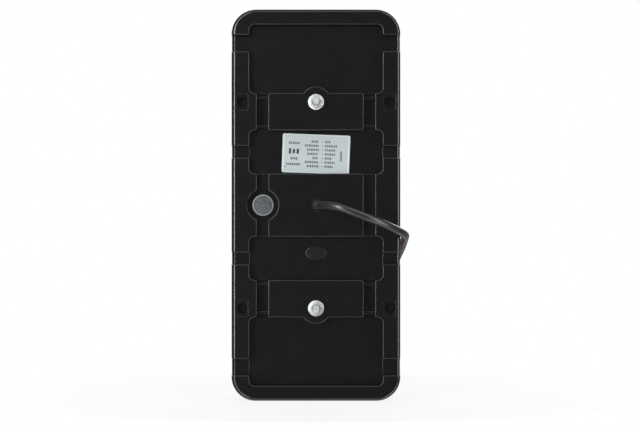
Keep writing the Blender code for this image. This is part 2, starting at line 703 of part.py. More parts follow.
def make_tube(name, points, radius, resolution, finish):
    """A tube along points, closed at both ends."""
    curve = bpy.data.curves.new(name, "CURVE")
    curve.dimensions = "3D"
    curve.bevel_depth = radius
    curve.bevel_resolution = resolution
    curve.use_fill_caps = True
    spline = curve.splines.new("POLY")
    spline.points.add(len(points) - 1)
    for point, co in zip(spline.points, points):
        point.co = (*co, 1.0)
    return add_part(name, curve, finish)


def eased(t):
    """A smooth step from 0 to 1."""
    t = min(max(t, 0.0), 1.0)
    return t * t * (3 - 2 * t)


def coil_point(centre, angle):
    """A point on the coil, which climbs onto its first pass and lifts where the tie runs under it."""
    climb = COIL_RISE * eased((angle - COIL_CLIMB[0]) / (COIL_CLIMB[1] - COIL_CLIMB[0]))
    lift = COIL_HUMP * eased(1 - abs(angle % math.tau - COIL_TIE_ANGLE) / COIL_TIE_ANGLE)
    return centre + Vector((COIL_RADIUS * math.cos(angle), COIL_RADIUS * math.sin(angle), climb + lift))


def least_gap(points, radius):
    """The least clearance between stretches of a tube that are over a quarter turn apart."""
    apart = COIL_STEPS // 4
    pairs = [(a, b) for i, a in enumerate(points) for b in points[i + apart:]]
    return min((a - b).length for a, b in pairs) - 2 * radius


def make_cable():
    """The cable from the wire header out to its seven bare cores."""
    sleeve = CABLE_HOLE_RADIUS - GAP
    inside = BACK_WALL + GAP
    flange_end = inside + GROMMET_FLANGE_THICKNESS
    grommet = [
        (GROMMET_BORE, GROMMET_INSET), (sleeve, GROMMET_INSET), (sleeve, inside), (GROMMET_FLANGE, inside),
        (GROMMET_FLANGE, flange_end), (GROMMET_BORE, flange_end),
    ]
    turned("cable_grommet", grommet, CABLE_X, 0.0, "black_rubber", closed=True)
    tie = (flange_end + GAP, flange_end + GAP + TIE_WIDTH)
    ring("strain_relief_tie", GROMMET_BORE, TIE_OUTER, tie, CABLE_X, 0.0, "nylon_tie")
    stub = [(0.0, 0.0), (CABLE_RADIUS, 0.0), (CABLE_RADIUS, INNER_CABLE_END), (0.0, INNER_CABLE_END)]
    turned("cable_inner", stub, CABLE_X, 0.0, "black_sheath", steps=16)
    route = smooth_route([Vector(point) for point in CABLE_ROUTE], ROUTE_STEP)
    make_tube("cable_free", route, CABLE_RADIUS, 3, "black_sheath")

    lead_in = route[-1] + Vector((0.0, GAP, 0.0))
    centre = lead_in + Vector((-COIL_RADIUS, COIL_LEAD, 0.0))
    count = round(COIL_TURNS * COIL_STEPS)
    turns = [coil_point(centre, math.tau * i / COIL_STEPS) for i in range(count + 1)]
    end_angle = math.tau * COIL_TURNS
    along = Vector((-math.sin(end_angle), math.cos(end_angle), 0.0))
    coil = [lead_in, *turns, turns[-1] + 2 * CABLE_RADIUS * along]
    make_tube("cable_coil", coil, CABLE_RADIUS, 1, "black_sheath")
    print(f"least gap of the coil to itself: {1000 * least_gap(coil, CABLE_RADIUS):.2f} mm")
    sheath = length_of(route) + length_of(coil)
    print(f"cable length outside the lamp: {1000 * sheath:.0f} mm")
    make_coil_tie(centre)
    make_cores(coil[-1] + GAP * along, along)


def make_coil_tie(centre):
    """A flat tie round the two passes of the coil, with its small locking head."""
    lower = coil_point(centre, COIL_TIE_ANGLE)
    upper = coil_point(centre, COIL_TIE_ANGLE + math.tau)
    half_across = CABLE_RADIUS + COIL_TIE_CLEARANCE
    half_high = (upper - lower).length / 2 + half_across
    half_wide = COIL_TIE_WIDTH / 2
    wall = COIL_TIE_WALL
    outside = Vector((half_across + wall, half_wide, half_high + wall))
    band = box(-outside, outside)
    bevel(band, edges_along(band, 1), half_across, 3)
    tie = add_part("cable_tie", mesh_from("cable_tie", band), "nylon_tie")
    inside = Vector((half_across, COIL_TIE_WIDTH, half_high))
    window = box(-inside, inside)
    bevel(window, edges_along(window, 1), half_across - wall, 3)
    reach, wide, high = COIL_TIE_LOCK
    lock = box(
        Vector((half_across + wall / 2, -wide / 2, -high / 2)),
        Vector((half_across + reach, wide / 2, high / 2)),
    )
    helpers = [add_cutter("tie_lock", lock, CUTTERS), add_cutter("tie_window", window, CUTTERS)]
    boolean(tie, "UNION", helpers[0])
    boolean(tie, "DIFFERENCE", helpers[1])
    for piece in (tie, *helpers):
        piece.location = (lower + upper) / 2
        piece.rotation_euler = (0.0, 0.0, COIL_TIE_ANGLE)


def make_cores(start, along):
    """The seven cores, one in the middle of six, which fan out and come down to the floor."""
    side = Vector((-along.y, along.x, 0.0))
    up = Vector((0.0, 0.0, 1.0))
    around = [(CORE_PITCH * math.cos(math.radians(a)), CORE_PITCH * math.sin(math.radians(a)))
              for a in (180, 240, 120, 0, 300, 60)]
    bundle = [*around[:3], (0.0, 0.0), around[4], around[5], around[3]]
    drop = start.z - CORE_RADIUS - GAP
    for slot, (name, (across, above)) in enumerate(zip(CORE_NAMES, bundle)):
        target = CORE_FIRST + slot * CORE_SPREAD
        points = []
        for i in range(CORE_STEPS + 1):
            t = i / CORE_STEPS
            sideways = across + (target - across) * eased(t)
            height = above + (-drop - above) * eased(t)
            points.append(start + CORE_LENGTH * t * along + sideways * side + height * up)
        make_tube(f"core_{name}", points, CORE_RADIUS, 2, f"core_{name}")


make_materials()
make_housing()
make_lens()
make_tray()
make_board()
make_driver()
make_fixing("upper", STUD_Z)
make_fixing("lower", -STUD_Z)
make_vent()
make_label()
make_cable()
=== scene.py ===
# %% [markdown]
# # A rear combination lamp, seen from its mounting side
#
# The lamp stands on its lower end with its back to the camera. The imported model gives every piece
# its place and its size. This lesson dresses it: each cell makes one piece or one finish, in the
# order in which a maker would need them.

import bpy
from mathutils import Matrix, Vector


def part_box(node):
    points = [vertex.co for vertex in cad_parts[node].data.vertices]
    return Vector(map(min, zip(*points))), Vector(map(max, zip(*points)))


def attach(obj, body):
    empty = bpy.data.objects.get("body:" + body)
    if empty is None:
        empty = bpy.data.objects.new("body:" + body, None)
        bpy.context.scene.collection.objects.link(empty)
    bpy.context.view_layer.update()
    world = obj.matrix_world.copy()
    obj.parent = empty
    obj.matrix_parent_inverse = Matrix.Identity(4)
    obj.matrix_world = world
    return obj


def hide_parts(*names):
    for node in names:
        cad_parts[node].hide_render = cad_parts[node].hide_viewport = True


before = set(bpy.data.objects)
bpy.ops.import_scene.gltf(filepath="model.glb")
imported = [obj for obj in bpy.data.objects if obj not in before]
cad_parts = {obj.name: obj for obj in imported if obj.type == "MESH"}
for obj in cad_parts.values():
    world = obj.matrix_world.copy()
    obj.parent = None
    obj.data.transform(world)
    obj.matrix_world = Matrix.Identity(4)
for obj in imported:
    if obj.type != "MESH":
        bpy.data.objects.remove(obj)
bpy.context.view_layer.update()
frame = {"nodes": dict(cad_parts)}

# %% Measures from the frame
import math

import bmesh
import bpy
from mathutils import Matrix, Quaternion, Vector

mm = 0.001
housing_low, housing_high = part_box("housing")
rear_y = housing_low.y
mid_z = (housing_low.z + housing_high.z) / 2
half_wide = housing_high.x / mm
half_high = (housing_high.z - mid_z) / mm
rim_depth = (housing_high.y - rear_y) / mm


def at(x, depth, z):
    """A place on the lamp, in millimetres: from its middle line, in from the rear plane, from mid height."""
    return Vector((x * mm, rear_y + depth * mm, mid_z + z * mm))


print(f"housing {2 * half_wide:.1f} x {2 * half_high:.1f} mm, rim {rim_depth:.1f} mm from the rear plane")

# %% [markdown]
# ## Camera
#
# The photograph was taken square-on to the back of the lamp, from a little over a metre. The two
# stud tips stand 20 mm proud and lean away from the middle of the picture by about two pixels,
# which gives the distance. The lens then follows from the lamp's height in the picture.

# %% Camera
camera_lens = 84.0
camera_place = (3.0, -1100, -6.9)
level_turn = (math.radians(90), 0, 0)

scene = bpy.context.scene
camera = bpy.data.objects.new("camera", bpy.data.cameras.new("camera"))
camera.data.lens = camera_lens
camera.location = at(*camera_place)
camera.rotation_euler = level_turn
scene.collection.objects.link(camera)
scene.camera = camera
print("camera stands", -camera.location.y, "m behind the lamp")

# %% [markdown]
# ## Cable
#
# A seven-core trailer cable with a round PVC sheath. It comes straight out of the hole in the
# middle of the back, bends to the right and goes over the edge. The photograph stops there, so the
# rest hangs down behind the lens and lies in one tied coil on the floor, hidden by the lamp.
# A curve suits a cable: its bevel gives the round sheath, and its line is the cable's true length.

# %% The sheath's line
route = [Vector(point) for point in (
    (0.0010, -0.0103, 0.1445), (0.0010, -0.0145, 0.1445), (0.0028, -0.0238, 0.1445),
    (0.0088, -0.0322, 0.1442), (0.0178, -0.0372, 0.1426), (0.0275, -0.0382, 0.1391),
    (0.0372, -0.0368, 0.1354), (0.0466, -0.0324, 0.1317), (0.0554, -0.0256, 0.1279),
    (0.0624, -0.0162, 0.1245), (0.0660, -0.0045, 0.1221), (0.0666, 0.0080, 0.1205),
    (0.0666, 0.0200, 0.1179), (0.0654, 0.0310, 0.1126), (0.0620, 0.0382, 0.1042),
    (0.0580, 0.0414, 0.0935), (0.0550, 0.0424, 0.0815), (0.0529, 0.0424, 0.0685),
    (0.0516, 0.0422, 0.0550), (0.0506, 0.0426, 0.0415), (0.0500, 0.0448, 0.0280),
    (0.0495, 0.0502, 0.0160), (0.0492, 0.0582, 0.0076), (0.0490, 0.0660, 0.0040),
    (0.0490, 0.0704, 0.0031), (0.0490, 0.0728, 0.0030), (0.0490, 0.0748, 0.0030),
)]
sheath_radius = 3.0 * mm
coil_radius = 30.0 * mm
coil_rise = 6.7 * mm
coil_climb = (math.radians(180), math.radians(300))
coil_turns = 1.25
coil_steps = 72
coil_lead = Vector((-coil_radius, 6.3 * mm, 0))
tie_angle = math.radians(45)
tie_lift = 1.6 * mm


def eased(t):
    """A smooth step from 0 to 1."""
    t = min(max(t, 0.0), 1.0)
    return t * t * (3 - 2 * t)


def smooth_line(points, per_span):
    """More points along a smooth curve through the given ones."""
    ends = [2 * points[0] - points[1], *points, 2 * points[-1] - points[-2]]
    line = [points[0]]
    for before, start, end, after in zip(ends, ends[1:], ends[2:], ends[3:]):
        leave = start + (end - before) / 6
        arrive = end - (after - start) / 6
        for step in range(1, per_span + 1):
            t = step / per_span
            u = 1 - t
            line.append(u ** 3 * start + 3 * u * u * t * leave + 3 * u * t * t * arrive + t ** 3 * end)
    return line


coil_middle = route[-1] + coil_lead


def coil_point(angle):
    """A point of the coil, which climbs onto its first pass and lifts where the tie runs under it."""
    climb = coil_rise * eased((angle - coil_climb[0]) / (coil_climb[1] - coil_climb[0]))
    lift = tie_lift * eased(1 - abs(angle % math.tau - tie_angle) / tie_angle)
    return coil_middle + Vector((coil_radius * math.cos(angle), coil_radius * math.sin(angle), climb + lift))


coil_count = round(coil_turns * coil_steps)
coil_line = [coil_point(math.tau * i / coil_steps) for i in range(coil_count + 1)]
coil_end = coil_line[-1] + Vector((-2 * sheath_radius, 0, 0))
sheath_line = [*smooth_line(route, 5), *coil_line, coil_end]

# %% Sheath
sheath_roundness = 7


def only(piece):
    """Selects one piece alone and makes it the one that operators act on."""
    bpy.ops.object.select_all(action="DESELECT")
    piece.select_set(True)
    bpy.context.view_layer.objects.active = piece


def tube(name, line, radius, roundness):
    """A round tube along a line, as a curve with closed ends."""
    curve = bpy.data.curves.new(name, "CURVE")
    curve.dimensions = "3D"
    curve.bevel_depth = 1.0
    curve.bevel_resolution = roundness
    curve.use_fill_caps = True
    spline = curve.splines.new("POLY")
    spline.points.add(len(line) - 1)
    for point, place in zip(spline.points, line):
        point.co = (*place, 1)
        point.radius = radius
    made = bpy.data.objects.new(name, curve)
    scene.collection.objects.link(made)
    return made


sheath = tube("cable_sheath", sheath_line, sheath_radius, sheath_roundness)
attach(sheath, "lamp")
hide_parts("cable_free", "cable_coil")
print("sheath", 2 * sheath_radius / mm, "mm thick")

# %% [markdown]
# The seven cores leave the sheath as one in the middle of six, spread side by side and come down
# to the floor. The last six millimetres are stripped to the tinned strands.

# %% Cores
core_angles = {"red": 180, "yellow": 240, "black": 120, "brown": None, "blue": 300, "green": 60, "white": 0}
core_radius = 0.7 * mm
strand_radius = 0.45 * mm
core_pitch = 1.75 * mm
core_length = 45 * mm
core_stripped = 6 * mm
core_spread = 1.9 * mm
core_first = -2.3 * mm
core_gap = 0.3 * mm
core_steps = 45
core_start = coil_end + Vector((-core_gap, 0, 0))
core_drop = core_start.z - core_radius - core_gap
soft_angle = math.radians(40)


def in_bundle(angle):
    """Where a core leaves the sheath, across and above its middle. One without an angle is in the middle."""
    if angle is None:
        return 0, 0
    return core_pitch * math.cos(math.radians(angle)), core_pitch * math.sin(math.radians(angle))


def core_line(number, across, above):
    """The line of a core, from its place in the sheath to its own place on the floor."""
    line = []
    for i in range(core_steps + 1):
        t = i / core_steps
        sideways = across + (core_first + number * core_spread - across) * eased(t)
        height = above + (-core_drop - above) * eased(t)
        line.append(core_start + Vector((-core_length * t, -sideways, height)))
    return line


def as_mesh(piece):
    """Turns a curve into a mesh whose faces are shaded smooth."""
    only(piece)
    bpy.ops.object.convert(target="MESH")
    bpy.ops.object.shade_smooth_by_angle(angle=soft_angle)
    return piece


wires = {}
strands = []
bare_from = round(core_steps * (1 - core_stripped / core_length))
for number, (name, angle) in enumerate(core_angles.items()):
    line = core_line(number, *in_bundle(angle))
    wires[name] = as_mesh(tube(f"wire_{name}", line[:bare_from + 1], core_radius, 4))
    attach(wires[name], "lamp")
    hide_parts(f"core_{name}")
    strands.append(as_mesh(tube(f"strands_{name}", line[bare_from - 1:], strand_radius, 3)))
    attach(strands[-1], "lamp")
print(len(wires), "cores")

# %% [markdown]
# ## Shaping tools
#
# A modeller works with few moves: put in a block or a bar, round chosen edges, cut one shape out
# of another, turn an outline on a lathe. Each move is a short function here. Edges are chosen by
# where their two ends lie, as one would click them.

# %% Shaping tools
hair = 1e-6
on_plane = 0.01
merge_within = 0.002 * mm
spin_merge = 0.001 * mm


def keep_place(made, name):
    """Names a new primitive and puts its place, turn and size into its mesh."""
    made.name = name
    made.data.name = name
    bpy.ops.object.transform_apply(location=True, rotation=True, scale=True)
    return made


def block(name, low, high):
    """A block between two corners."""
    bpy.ops.object.select_all(action="DESELECT")
    bpy.ops.mesh.primitive_cube_add(size=1, location=(low + high) / 2, scale=high - low)
    return keep_place(bpy.context.object, name)


def bar(name, x, z, depths, radius, sides=64):
    """A round bar square to the rear plane, between two depths."""
    bpy.ops.object.select_all(action="DESELECT")
    bpy.ops.mesh.primitive_cylinder_add(
        vertices=sides, radius=radius * mm, depth=(depths[1] - depths[0]) * mm,
        location=at(x, sum(depths) / 2, z), rotation=level_turn,
    )
    return keep_place(bpy.context.object, name)


def choose_edges(piece, test, least_bend=None):
    """Opens a piece in edit mode with only those edges selected whose two ends pass the test.

    With least_bend, an edge must also be an outer one that turns by at least so many degrees.
    """
    only(piece)
    bpy.ops.object.mode_set(mode="EDIT")
    bpy.ops.mesh.select_mode(type="EDGE")
    bpy.ops.mesh.select_all(action="DESELECT")
    cage = bmesh.from_edit_mesh(piece.data)
    chosen = [edge for edge in cage.edges if test(edge.verts[0].co, edge.verts[1].co)]
    if least_bend is not None:
        chosen = [edge for edge in chosen if edge.calc_face_angle_signed(0) > math.radians(least_bend)]
    for edge in chosen:
        edge.select_set(True)
    bmesh.update_edit_mesh(piece.data)
    return len(chosen)


def round_edges(piece, test, radius, steps, least_bend=None):
    """Rounds the chosen edges of a piece to a radius in millimetres."""
    count = choose_edges(piece, test, least_bend)
    bpy.ops.mesh.bevel(offset=radius * mm, segments=steps, profile=0.5, affect="EDGES", clamp_overlap=False)
    bpy.ops.object.mode_set(mode="OBJECT")
    return count


def along_depth(a, b):
    """True for an edge that runs square to the rear plane."""
    return abs(a.x - b.x) < hair and abs(a.z - b.z) < hair


def depth_of(point):
    """How far in from the rear plane a point lies, in millimetres."""
    return (point.y - rear_y) / mm


def at_depth(depth):
    """A test for edges that lie in the plane at this depth."""
    return lambda a, b: abs(depth_of(a) - depth) < on_plane and abs(depth_of(b) - depth) < on_plane


def use_modifier(piece, kind, **settings):
    """Adds a modifier, sets it and applies it."""
    only(piece)
    modifier = piece.modifiers.new(kind.lower(), kind)
    for name, value in settings.items():
        setattr(modifier, name, value)
    bpy.ops.object.modifier_apply(modifier=modifier.name)


def carve(piece, others, operation="DIFFERENCE"):
    """Cuts other shapes out of a piece, or adds or keeps what it shares with them, and clears them away."""
    group = bpy.data.collections.new("carving")
    for other in others:
        group.objects.link(other)
    use_modifier(
        piece, "BOOLEAN", operation=operation, operand_type="COLLECTION", collection=group, solver="EXACT",
    )
    for other in others:
        bpy.data.objects.remove(other)
    bpy.data.collections.remove(group)


def join(pieces):
    """Joins pieces into the first one."""
    only(pieces[0])
    for piece in pieces:
        piece.select_set(True)
    bpy.ops.object.join()
    return pieces[0]


def copy_of(piece, name):
    """A copy of a piece with its own mesh."""
    made = piece.copy()
    made.data = piece.data.copy()
    made.name = name
    scene.collection.objects.link(made)
    return made


def tidy_mesh(piece, flat_angle=0.5):
    """Merges points that lie on each other, and faces that lie in one plane."""
    only(piece)
    bpy.ops.object.mode_set(mode="EDIT")
    bpy.ops.mesh.select_mode(type="VERT")
    bpy.ops.mesh.select_all(action="SELECT")
    bpy.ops.mesh.remove_doubles(threshold=merge_within)
    bpy.ops.mesh.dissolve_limited(angle_limit=math.radians(flat_angle))
    bpy.ops.object.mode_set(mode="OBJECT")


def smooth(piece, angle=40):
    """Shades a piece smooth up to an angle, with its large flats kept flat."""
    only(piece)
    bpy.ops.object.shade_smooth_by_angle(angle=math.radians(angle))
    use_modifier(piece, "WEIGHTED_NORMAL", keep_sharp=True)


def turned(name, outline, x, z, closed=False, steps=48):
    """Spins an outline of (radius, depth) about an axis square to the rear plane, as on a lathe."""
    points = [at(x + radius, depth, z) for radius, depth in outline]
    edges = [(i, i + 1) for i in range(len(points) - 1)]
    if closed:
        edges.append((len(points) - 1, 0))
    mesh = bpy.data.meshes.new(name)
    mesh.from_pydata(points, edges, [])
    made = bpy.data.objects.new(name, mesh)
    scene.collection.objects.link(made)
    only(made)
    bpy.ops.object.mode_set(mode="EDIT")
    bpy.ops.mesh.select_all(action="SELECT")
    bpy.ops.mesh.spin(steps=steps, angle=math.tau, center=at(x, 0, z), axis=(0, -1, 0))
    bpy.ops.mesh.select_all(action="SELECT")
    bpy.ops.mesh.remove_doubles(threshold=spin_merge)
    bpy.ops.mesh.normals_make_consistent(inside=False)
    bpy.ops.object.mode_set(mode="OBJECT")
    return made


def dress(piece, body, slot, *nodes):
    """Makes a piece ride on its body and stand for its CAD nodes. The slot is not used."""
    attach(piece, body)
    if nodes:
        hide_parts(*nodes)
    print(f"{piece.name}: {len(piece.data.polygons)} faces on {body}")
    return piece


# %% [markdown]
# ## Tie
#
# A nylon cable tie holds the two passes of the coil one over the other. It is a block with round
# corners, opened by a smaller one, with its locking head on the outer side and a cut-off tail.

# %% Tie
tie_wall = 1.0
tie_half_across = 3.4
tie_half_wide = 2.0
tie_low = coil_point(tie_angle)
tie_high = coil_point(tie_angle + math.tau)
tie_half_high = (tie_high - tie_low).length / 2 / mm + tie_half_across
tie_corner = tie_half_across + 0.2
window_corner = tie_half_across - 0.8
lock_half = (1.75, 3.0, 3.0)
lock_shift = tie_half_across + 2.25
slit_half = (0.6, 2.1, 5.0)
slit_shift = tie_half_across + 3.0
tie_edge = 0.2


def tie_block(name, half_x, half_y, half_z, shift=0.0):
    """A block about the tie's own middle, in millimetres, before the tie is put in its place."""
    size = Vector((half_x, half_y, half_z)) * mm
    middle = Vector((shift, 0, 0)) * mm
    return block(name, middle - size, middle + size)


tie = tie_block("coil_tie", tie_half_across + tie_wall, tie_half_wide, tie_half_high + tie_wall)
window = tie_block("window", tie_half_across, 2 * tie_half_wide, tie_half_high)
round_edges(tie, along_depth, tie_corner, 8)
round_edges(window, along_depth, window_corner, 8)
lock = tie_block("lock", *lock_half, lock_shift)
slit = tie_block("slit", *slit_half, slit_shift)
carve(tie, [lock], "UNION")
carve(tie, [window, slit])
tidy_mesh(tie)
use_modifier(tie, "BEVEL", width=tie_edge * mm, segments=2, limit_method="ANGLE", angle_limit=soft_angle)
smooth(tie)
only(tie)
tie.rotation_euler = (0, 0, tie_angle)
tie.location = (tie_low + tie_high) / 2
keep_place(tie, "coil_tie")
dress(tie, "lamp", "nylon", "cable_tie")

# %% [markdown]
# ## Housing
#
# The back is one injection moulding in black plastic: a slab with round corners and a soft rear
# edge, into which pockets, cable channels and side notches are sunk. One could push faces in one
# by one. It is easier to join the recesses of one depth into a single flat cutter, round the
# corners of its plan there, and cut once: the corner rounds then run the whole depth, as on the
# real tool. Once all the levels are cut, one bevel rounds their rims.

# %% Housing: the slab
corner_radius = 17.7
rear_edge_radius = 3.0
round_steps = 14
edge_steps = 6

shell = block("lamp_housing", at(-half_wide, 0, -half_high), at(half_wide, rim_depth, half_high))
round_edges(shell, along_depth, corner_radius, round_steps)
round_edges(shell, at_depth(0), rear_edge_radius, edge_steps)
print("slab:", len(shell.data.polygons), "faces")

# %% Housing: the plan of the recesses
shallow = 6.0
pocket_half = 49.2
outer_pocket = (82.7, 133.1)
inner_pocket = (23.3, 55.2)
channel = (35.2, 43.6)
outer_notch = (113.4, 125.5)
inner_notch = (35.0, 43.7)
proud = 2.0
overlap = 1.0


def sunk(x_span, z_span, depth, start=-proud):
    """A cutter over a span of x and of z, down to a depth."""
    (x0, x1), (z0, z1) = sorted(x_span), sorted(z_span)
    return block("cutter", at(x0, start, z0), at(x1, depth, z1))


def on_side(span, side):
    """A span from the middle outwards, on the side that the sign says."""
    return [side * value for value in span]


pocket_wide = (-pocket_half, pocket_half)
channel_long = (-outer_pocket[0] - overlap, outer_pocket[0] + overlap)
plan = sunk(pocket_wide, outer_pocket, shallow)
joined = [sunk(pocket_wide, on_side(outer_pocket, -1), shallow)]
for side in (1, -1):
    joined.append(sunk(pocket_wide, on_side(inner_pocket, side), shallow))
    joined.append(sunk(on_side(channel, side), channel_long, shallow))
    notch_wide = on_side((pocket_half - overlap, half_wide + proud), side)
    for up in (1, -1):
        for notch in (outer_notch, inner_notch):
            joined.append(sunk(notch_wide, on_side(notch, up), shallow))
carve(plan, joined, "UNION")
tidy_mesh(plan)
print("plan:", len(joined) + 1, "recesses")

# %% Housing: corners of the plan
pocket_corner = 4.0
channel_corner = 1.4
outer_notch_corners = (2.0, 1.2)
inner_notch_corner = 1.0
corner_reach = 0.05 * mm
pocket_rows = (outer_pocket[1], outer_pocket[0], inner_pocket[1], inner_pocket[0])
corner_rounds = {(pocket_half, z): pocket_corner for z in pocket_rows}
corner_rounds.update({(x, z): channel_corner for x in channel for z in pocket_rows[1:]})
corner_rounds.update({(pocket_half, z): radius for z, radius in zip(outer_notch, outer_notch_corners)})
corner_rounds.update({(pocket_half, z): inner_notch_corner for z in inner_notch})


def plan_corner(x, z):
    """A test for the upright edges at a corner of the plan, in all four quarters of the back."""
    def test(a, b):
        near_x = abs(abs(a.x) - x * mm) < corner_reach
        near_z = abs(abs(a.z - mid_z) - z * mm) < corner_reach
        return along_depth(a, b) and near_x and near_z
    return test


for (x, z), radius in corner_rounds.items():
    found = round_edges(plan, plan_corner(x, z), radius, 8)
    print(f"plan corner at {x}, {z}: {found} edges, {radius} mm")


def sunk_deeper(depth, windows):
    """A copy of the plan, pushed down to a depth and kept only inside some windows."""
    made = copy_of(plan, "deeper")
    only(made)
    for vertex in made.data.vertices:
        if depth_of(vertex.co) > 0:
            vertex.co.y = rear_y + depth * mm
    carve(made, [join(windows)], "INTERSECT")
    return made


# %% [markdown]
# Three of the pockets are a little deeper than the notches and the middle channels, and the cable
# channels beside the studs are deeper still, with two low ribs across each. The breather sits in
# a round recess of its own. The stud bosses stand up out of the bands as full circles.

# %% Housing: the deeper levels
pocket_depth = 7.5
deep_channel = 8.5
vent_x = -39.2
vent_recess = 11.5

pocket_spans = (inner_pocket, on_side(inner_pocket, -1), on_side(outer_pocket, -1))
pockets = [sunk(pocket_wide, span, deep_channel + proud, -2 * proud) for span in pocket_spans]
bands = [(inner_pocket[1], outer_pocket[0]), (-outer_pocket[0], -inner_pocket[1])]
wells = [sunk(pocket_wide, span, deep_channel + proud, -2 * proud) for span in bands]
levels = [sunk_deeper(pocket_depth, pockets), sunk_deeper(deep_channel, wells)]
for level in [plan, *levels]:
    carve(shell, [level])
carve(shell, [bar("recess", vent_x, 0, (-proud, pocket_depth), vent_recess, sides=96)])
print("recesses at", shallow, pocket_depth, "and", deep_channel, "mm")

# %% Housing: what stands up
ribs = ((57.8, 59.4), (78.5, 80.4))
rib_key = 0.6
rib_round = 0.4
stud_z = 76.0
boss_radius = 11.5
boss_foot = rim_depth - 10
oval = (0.0, -35.4)
oval_top = pocket_depth - 0.8
oval_half_high = 5.0
oval_stretch = 1.6
oval_round = 0.5

bosses = [bar("boss", 0, up * stud_z, (0, boss_foot), boss_radius, sides=96) for up in (1, -1)]
carve(shell, bosses, "UNION")
tidy_mesh(shell)
raised = []
for side in (1, -1):
    across = on_side((channel[0] - rib_key, channel[1] + rib_key), side)
    for up in (1, -1):
        for rib in ribs:
            raised.append(sunk(across, on_side(rib, up), deep_channel + overlap, shallow))
            round_edges(raised[-1], at_depth(shallow), rib_round, 3)
oval_boss = bar("oval", *oval, (oval_top, pocket_depth + overlap), oval_half_high)
round_edges(oval_boss, at_depth(oval_top), oval_round, 3)
only(oval_boss)
bpy.ops.transform.resize(value=(oval_stretch, 1, 1), center_override=at(oval[0], 0, oval[1]))
bpy.ops.object.transform_apply(location=True, rotation=True, scale=True)
raised.append(oval_boss)
carve(shell, raised, "UNION")
print("relief:", len(shell.data.polygons), "faces")

# %% Housing: soft rims
rim_round = 0.65
rim_rise = 0.5
rim_slack = 0.1
rim_bend = 35


def on_a_rim(a, b):
    """True for an edge that runs round a recess, with one end at least above the shallow floor."""
    near, far = sorted((depth_of(a), depth_of(b)))
    return near < shallow - rim_rise and far < shallow + rim_slack and not along_depth(a, b)


print(round_edges(shell, on_a_rim, rim_round, 4, least_bend=rim_bend), "rim edges")

# %% [markdown]
# The sill of a notch and the step between two floors end against a wall, where a bevel would slide
# the wrong way. A cutter rounds them instead: a block with a round bar taken out of it.

# %% Housing: sills and steps
step_round = 0.5
sill_gap = 0.05
notch_gap = 0.1
cutter_lead = 0.2
round_excess = 1.03
round_length = 100 * mm
round_turns = {"x": (0, math.radians(90), 0), "z": (0, 0, 0)}


def edge_cutter(x_span, z_span, depths, middle, axis, radius):
    """A block, less a bar along an axis that is a little too thick to be tangent to the block's faces."""
    made = sunk(x_span, z_span, depths[1], depths[0])
    bpy.ops.object.select_all(action="DESELECT")
    bpy.ops.mesh.primitive_cylinder_add(
        vertices=72, radius=round_excess * radius * mm, depth=round_length,
        location=at(middle[0], depths[1], middle[1]), rotation=round_turns[axis],
    )
    carve(made, [keep_place(bpy.context.object, "round")])
    return made


def notch_cutters(side, up, notch):
    """The cutters for a notch's sill at the lamp's side and, over a deeper pocket, for its step."""
    z0, z1 = sorted(on_side(notch, up))
    middle = (z0 + z1) / 2
    sill_x = side * (half_wide - rear_edge_radius)
    made = [edge_cutter(
        (sill_x, side * (half_wide + proud)), (z0 + sill_gap, z1 - sill_gap),
        (shallow - overlap, shallow + rear_edge_radius), (sill_x, middle), "z", rear_edge_radius,
    )]
    if notch is outer_notch and up > 0:
        return made
    step_x = side * (pocket_half + step_round)
    return made + [edge_cutter(
        (side * (pocket_half - cutter_lead), step_x), (z0 + notch_gap, z1 - notch_gap),
        (shallow - cutter_lead, shallow + step_round), (step_x, middle), "z", step_round,
    )]


edges = []
for side in (1, -1):
    across = on_side(channel, side)
    for up in (1, -1):
        for notch in (outer_notch, inner_notch):
            edges += notch_cutters(side, up, notch)
        outer_level = shallow if up > 0 else pocket_depth
        drops = ((inner_pocket[0], shallow, -1), (inner_pocket[1], pocket_depth, -1),
                 (outer_pocket[0], outer_level, 1))
        for z, level, inward in drops:
            back, front = up * (z + inward * step_round), up * (z - inward * cutter_lead)
            edges.append(edge_cutter(
                across, (back, front), (level - cutter_lead, level + step_round),
                (sum(across) / 2, back), "x", step_round,
            ))
carve(shell, edges)
print("sills and steps:", len(shell.data.polygons), "faces")

# %% [markdown]
# The shallow marks come after the rims are rounded, because they are finer than that rounding: a
# spot face round each stud, a square pad with a blind hole at each corner of the bands, and the
# round marks that two ejector pins of the mould left on the lower band.

# %% Housing: pads, spot faces and ejector marks
spot_depth = 0.3
spot_radius = boss_radius - 1.15
pad_place = (54.4, 76.0)
pad_half = (4.5, 6.25)
pad_depth = 0.5
pad_corner = 0.8
pad_floor_round = 0.2
pad_hole = 3.2
pad_hole_depth = 5.0
pad_hole_mouth = pad_hole + 0.6
ejector_marks = ((-23.2, -69.1), (23.6, -68.6))
ejector_radius = 3.9
ejector_groove = (0.4, 0.12)
dimple = (54.2, 0.4)
dimple_radius = 0.9
dimple_mouth = dimple_radius + 0.3
dimple_depth = 3.0
cable_x = 1.0
cable_hole = 4.2
outlet_round = 0.6
outlet_depth = 9.0

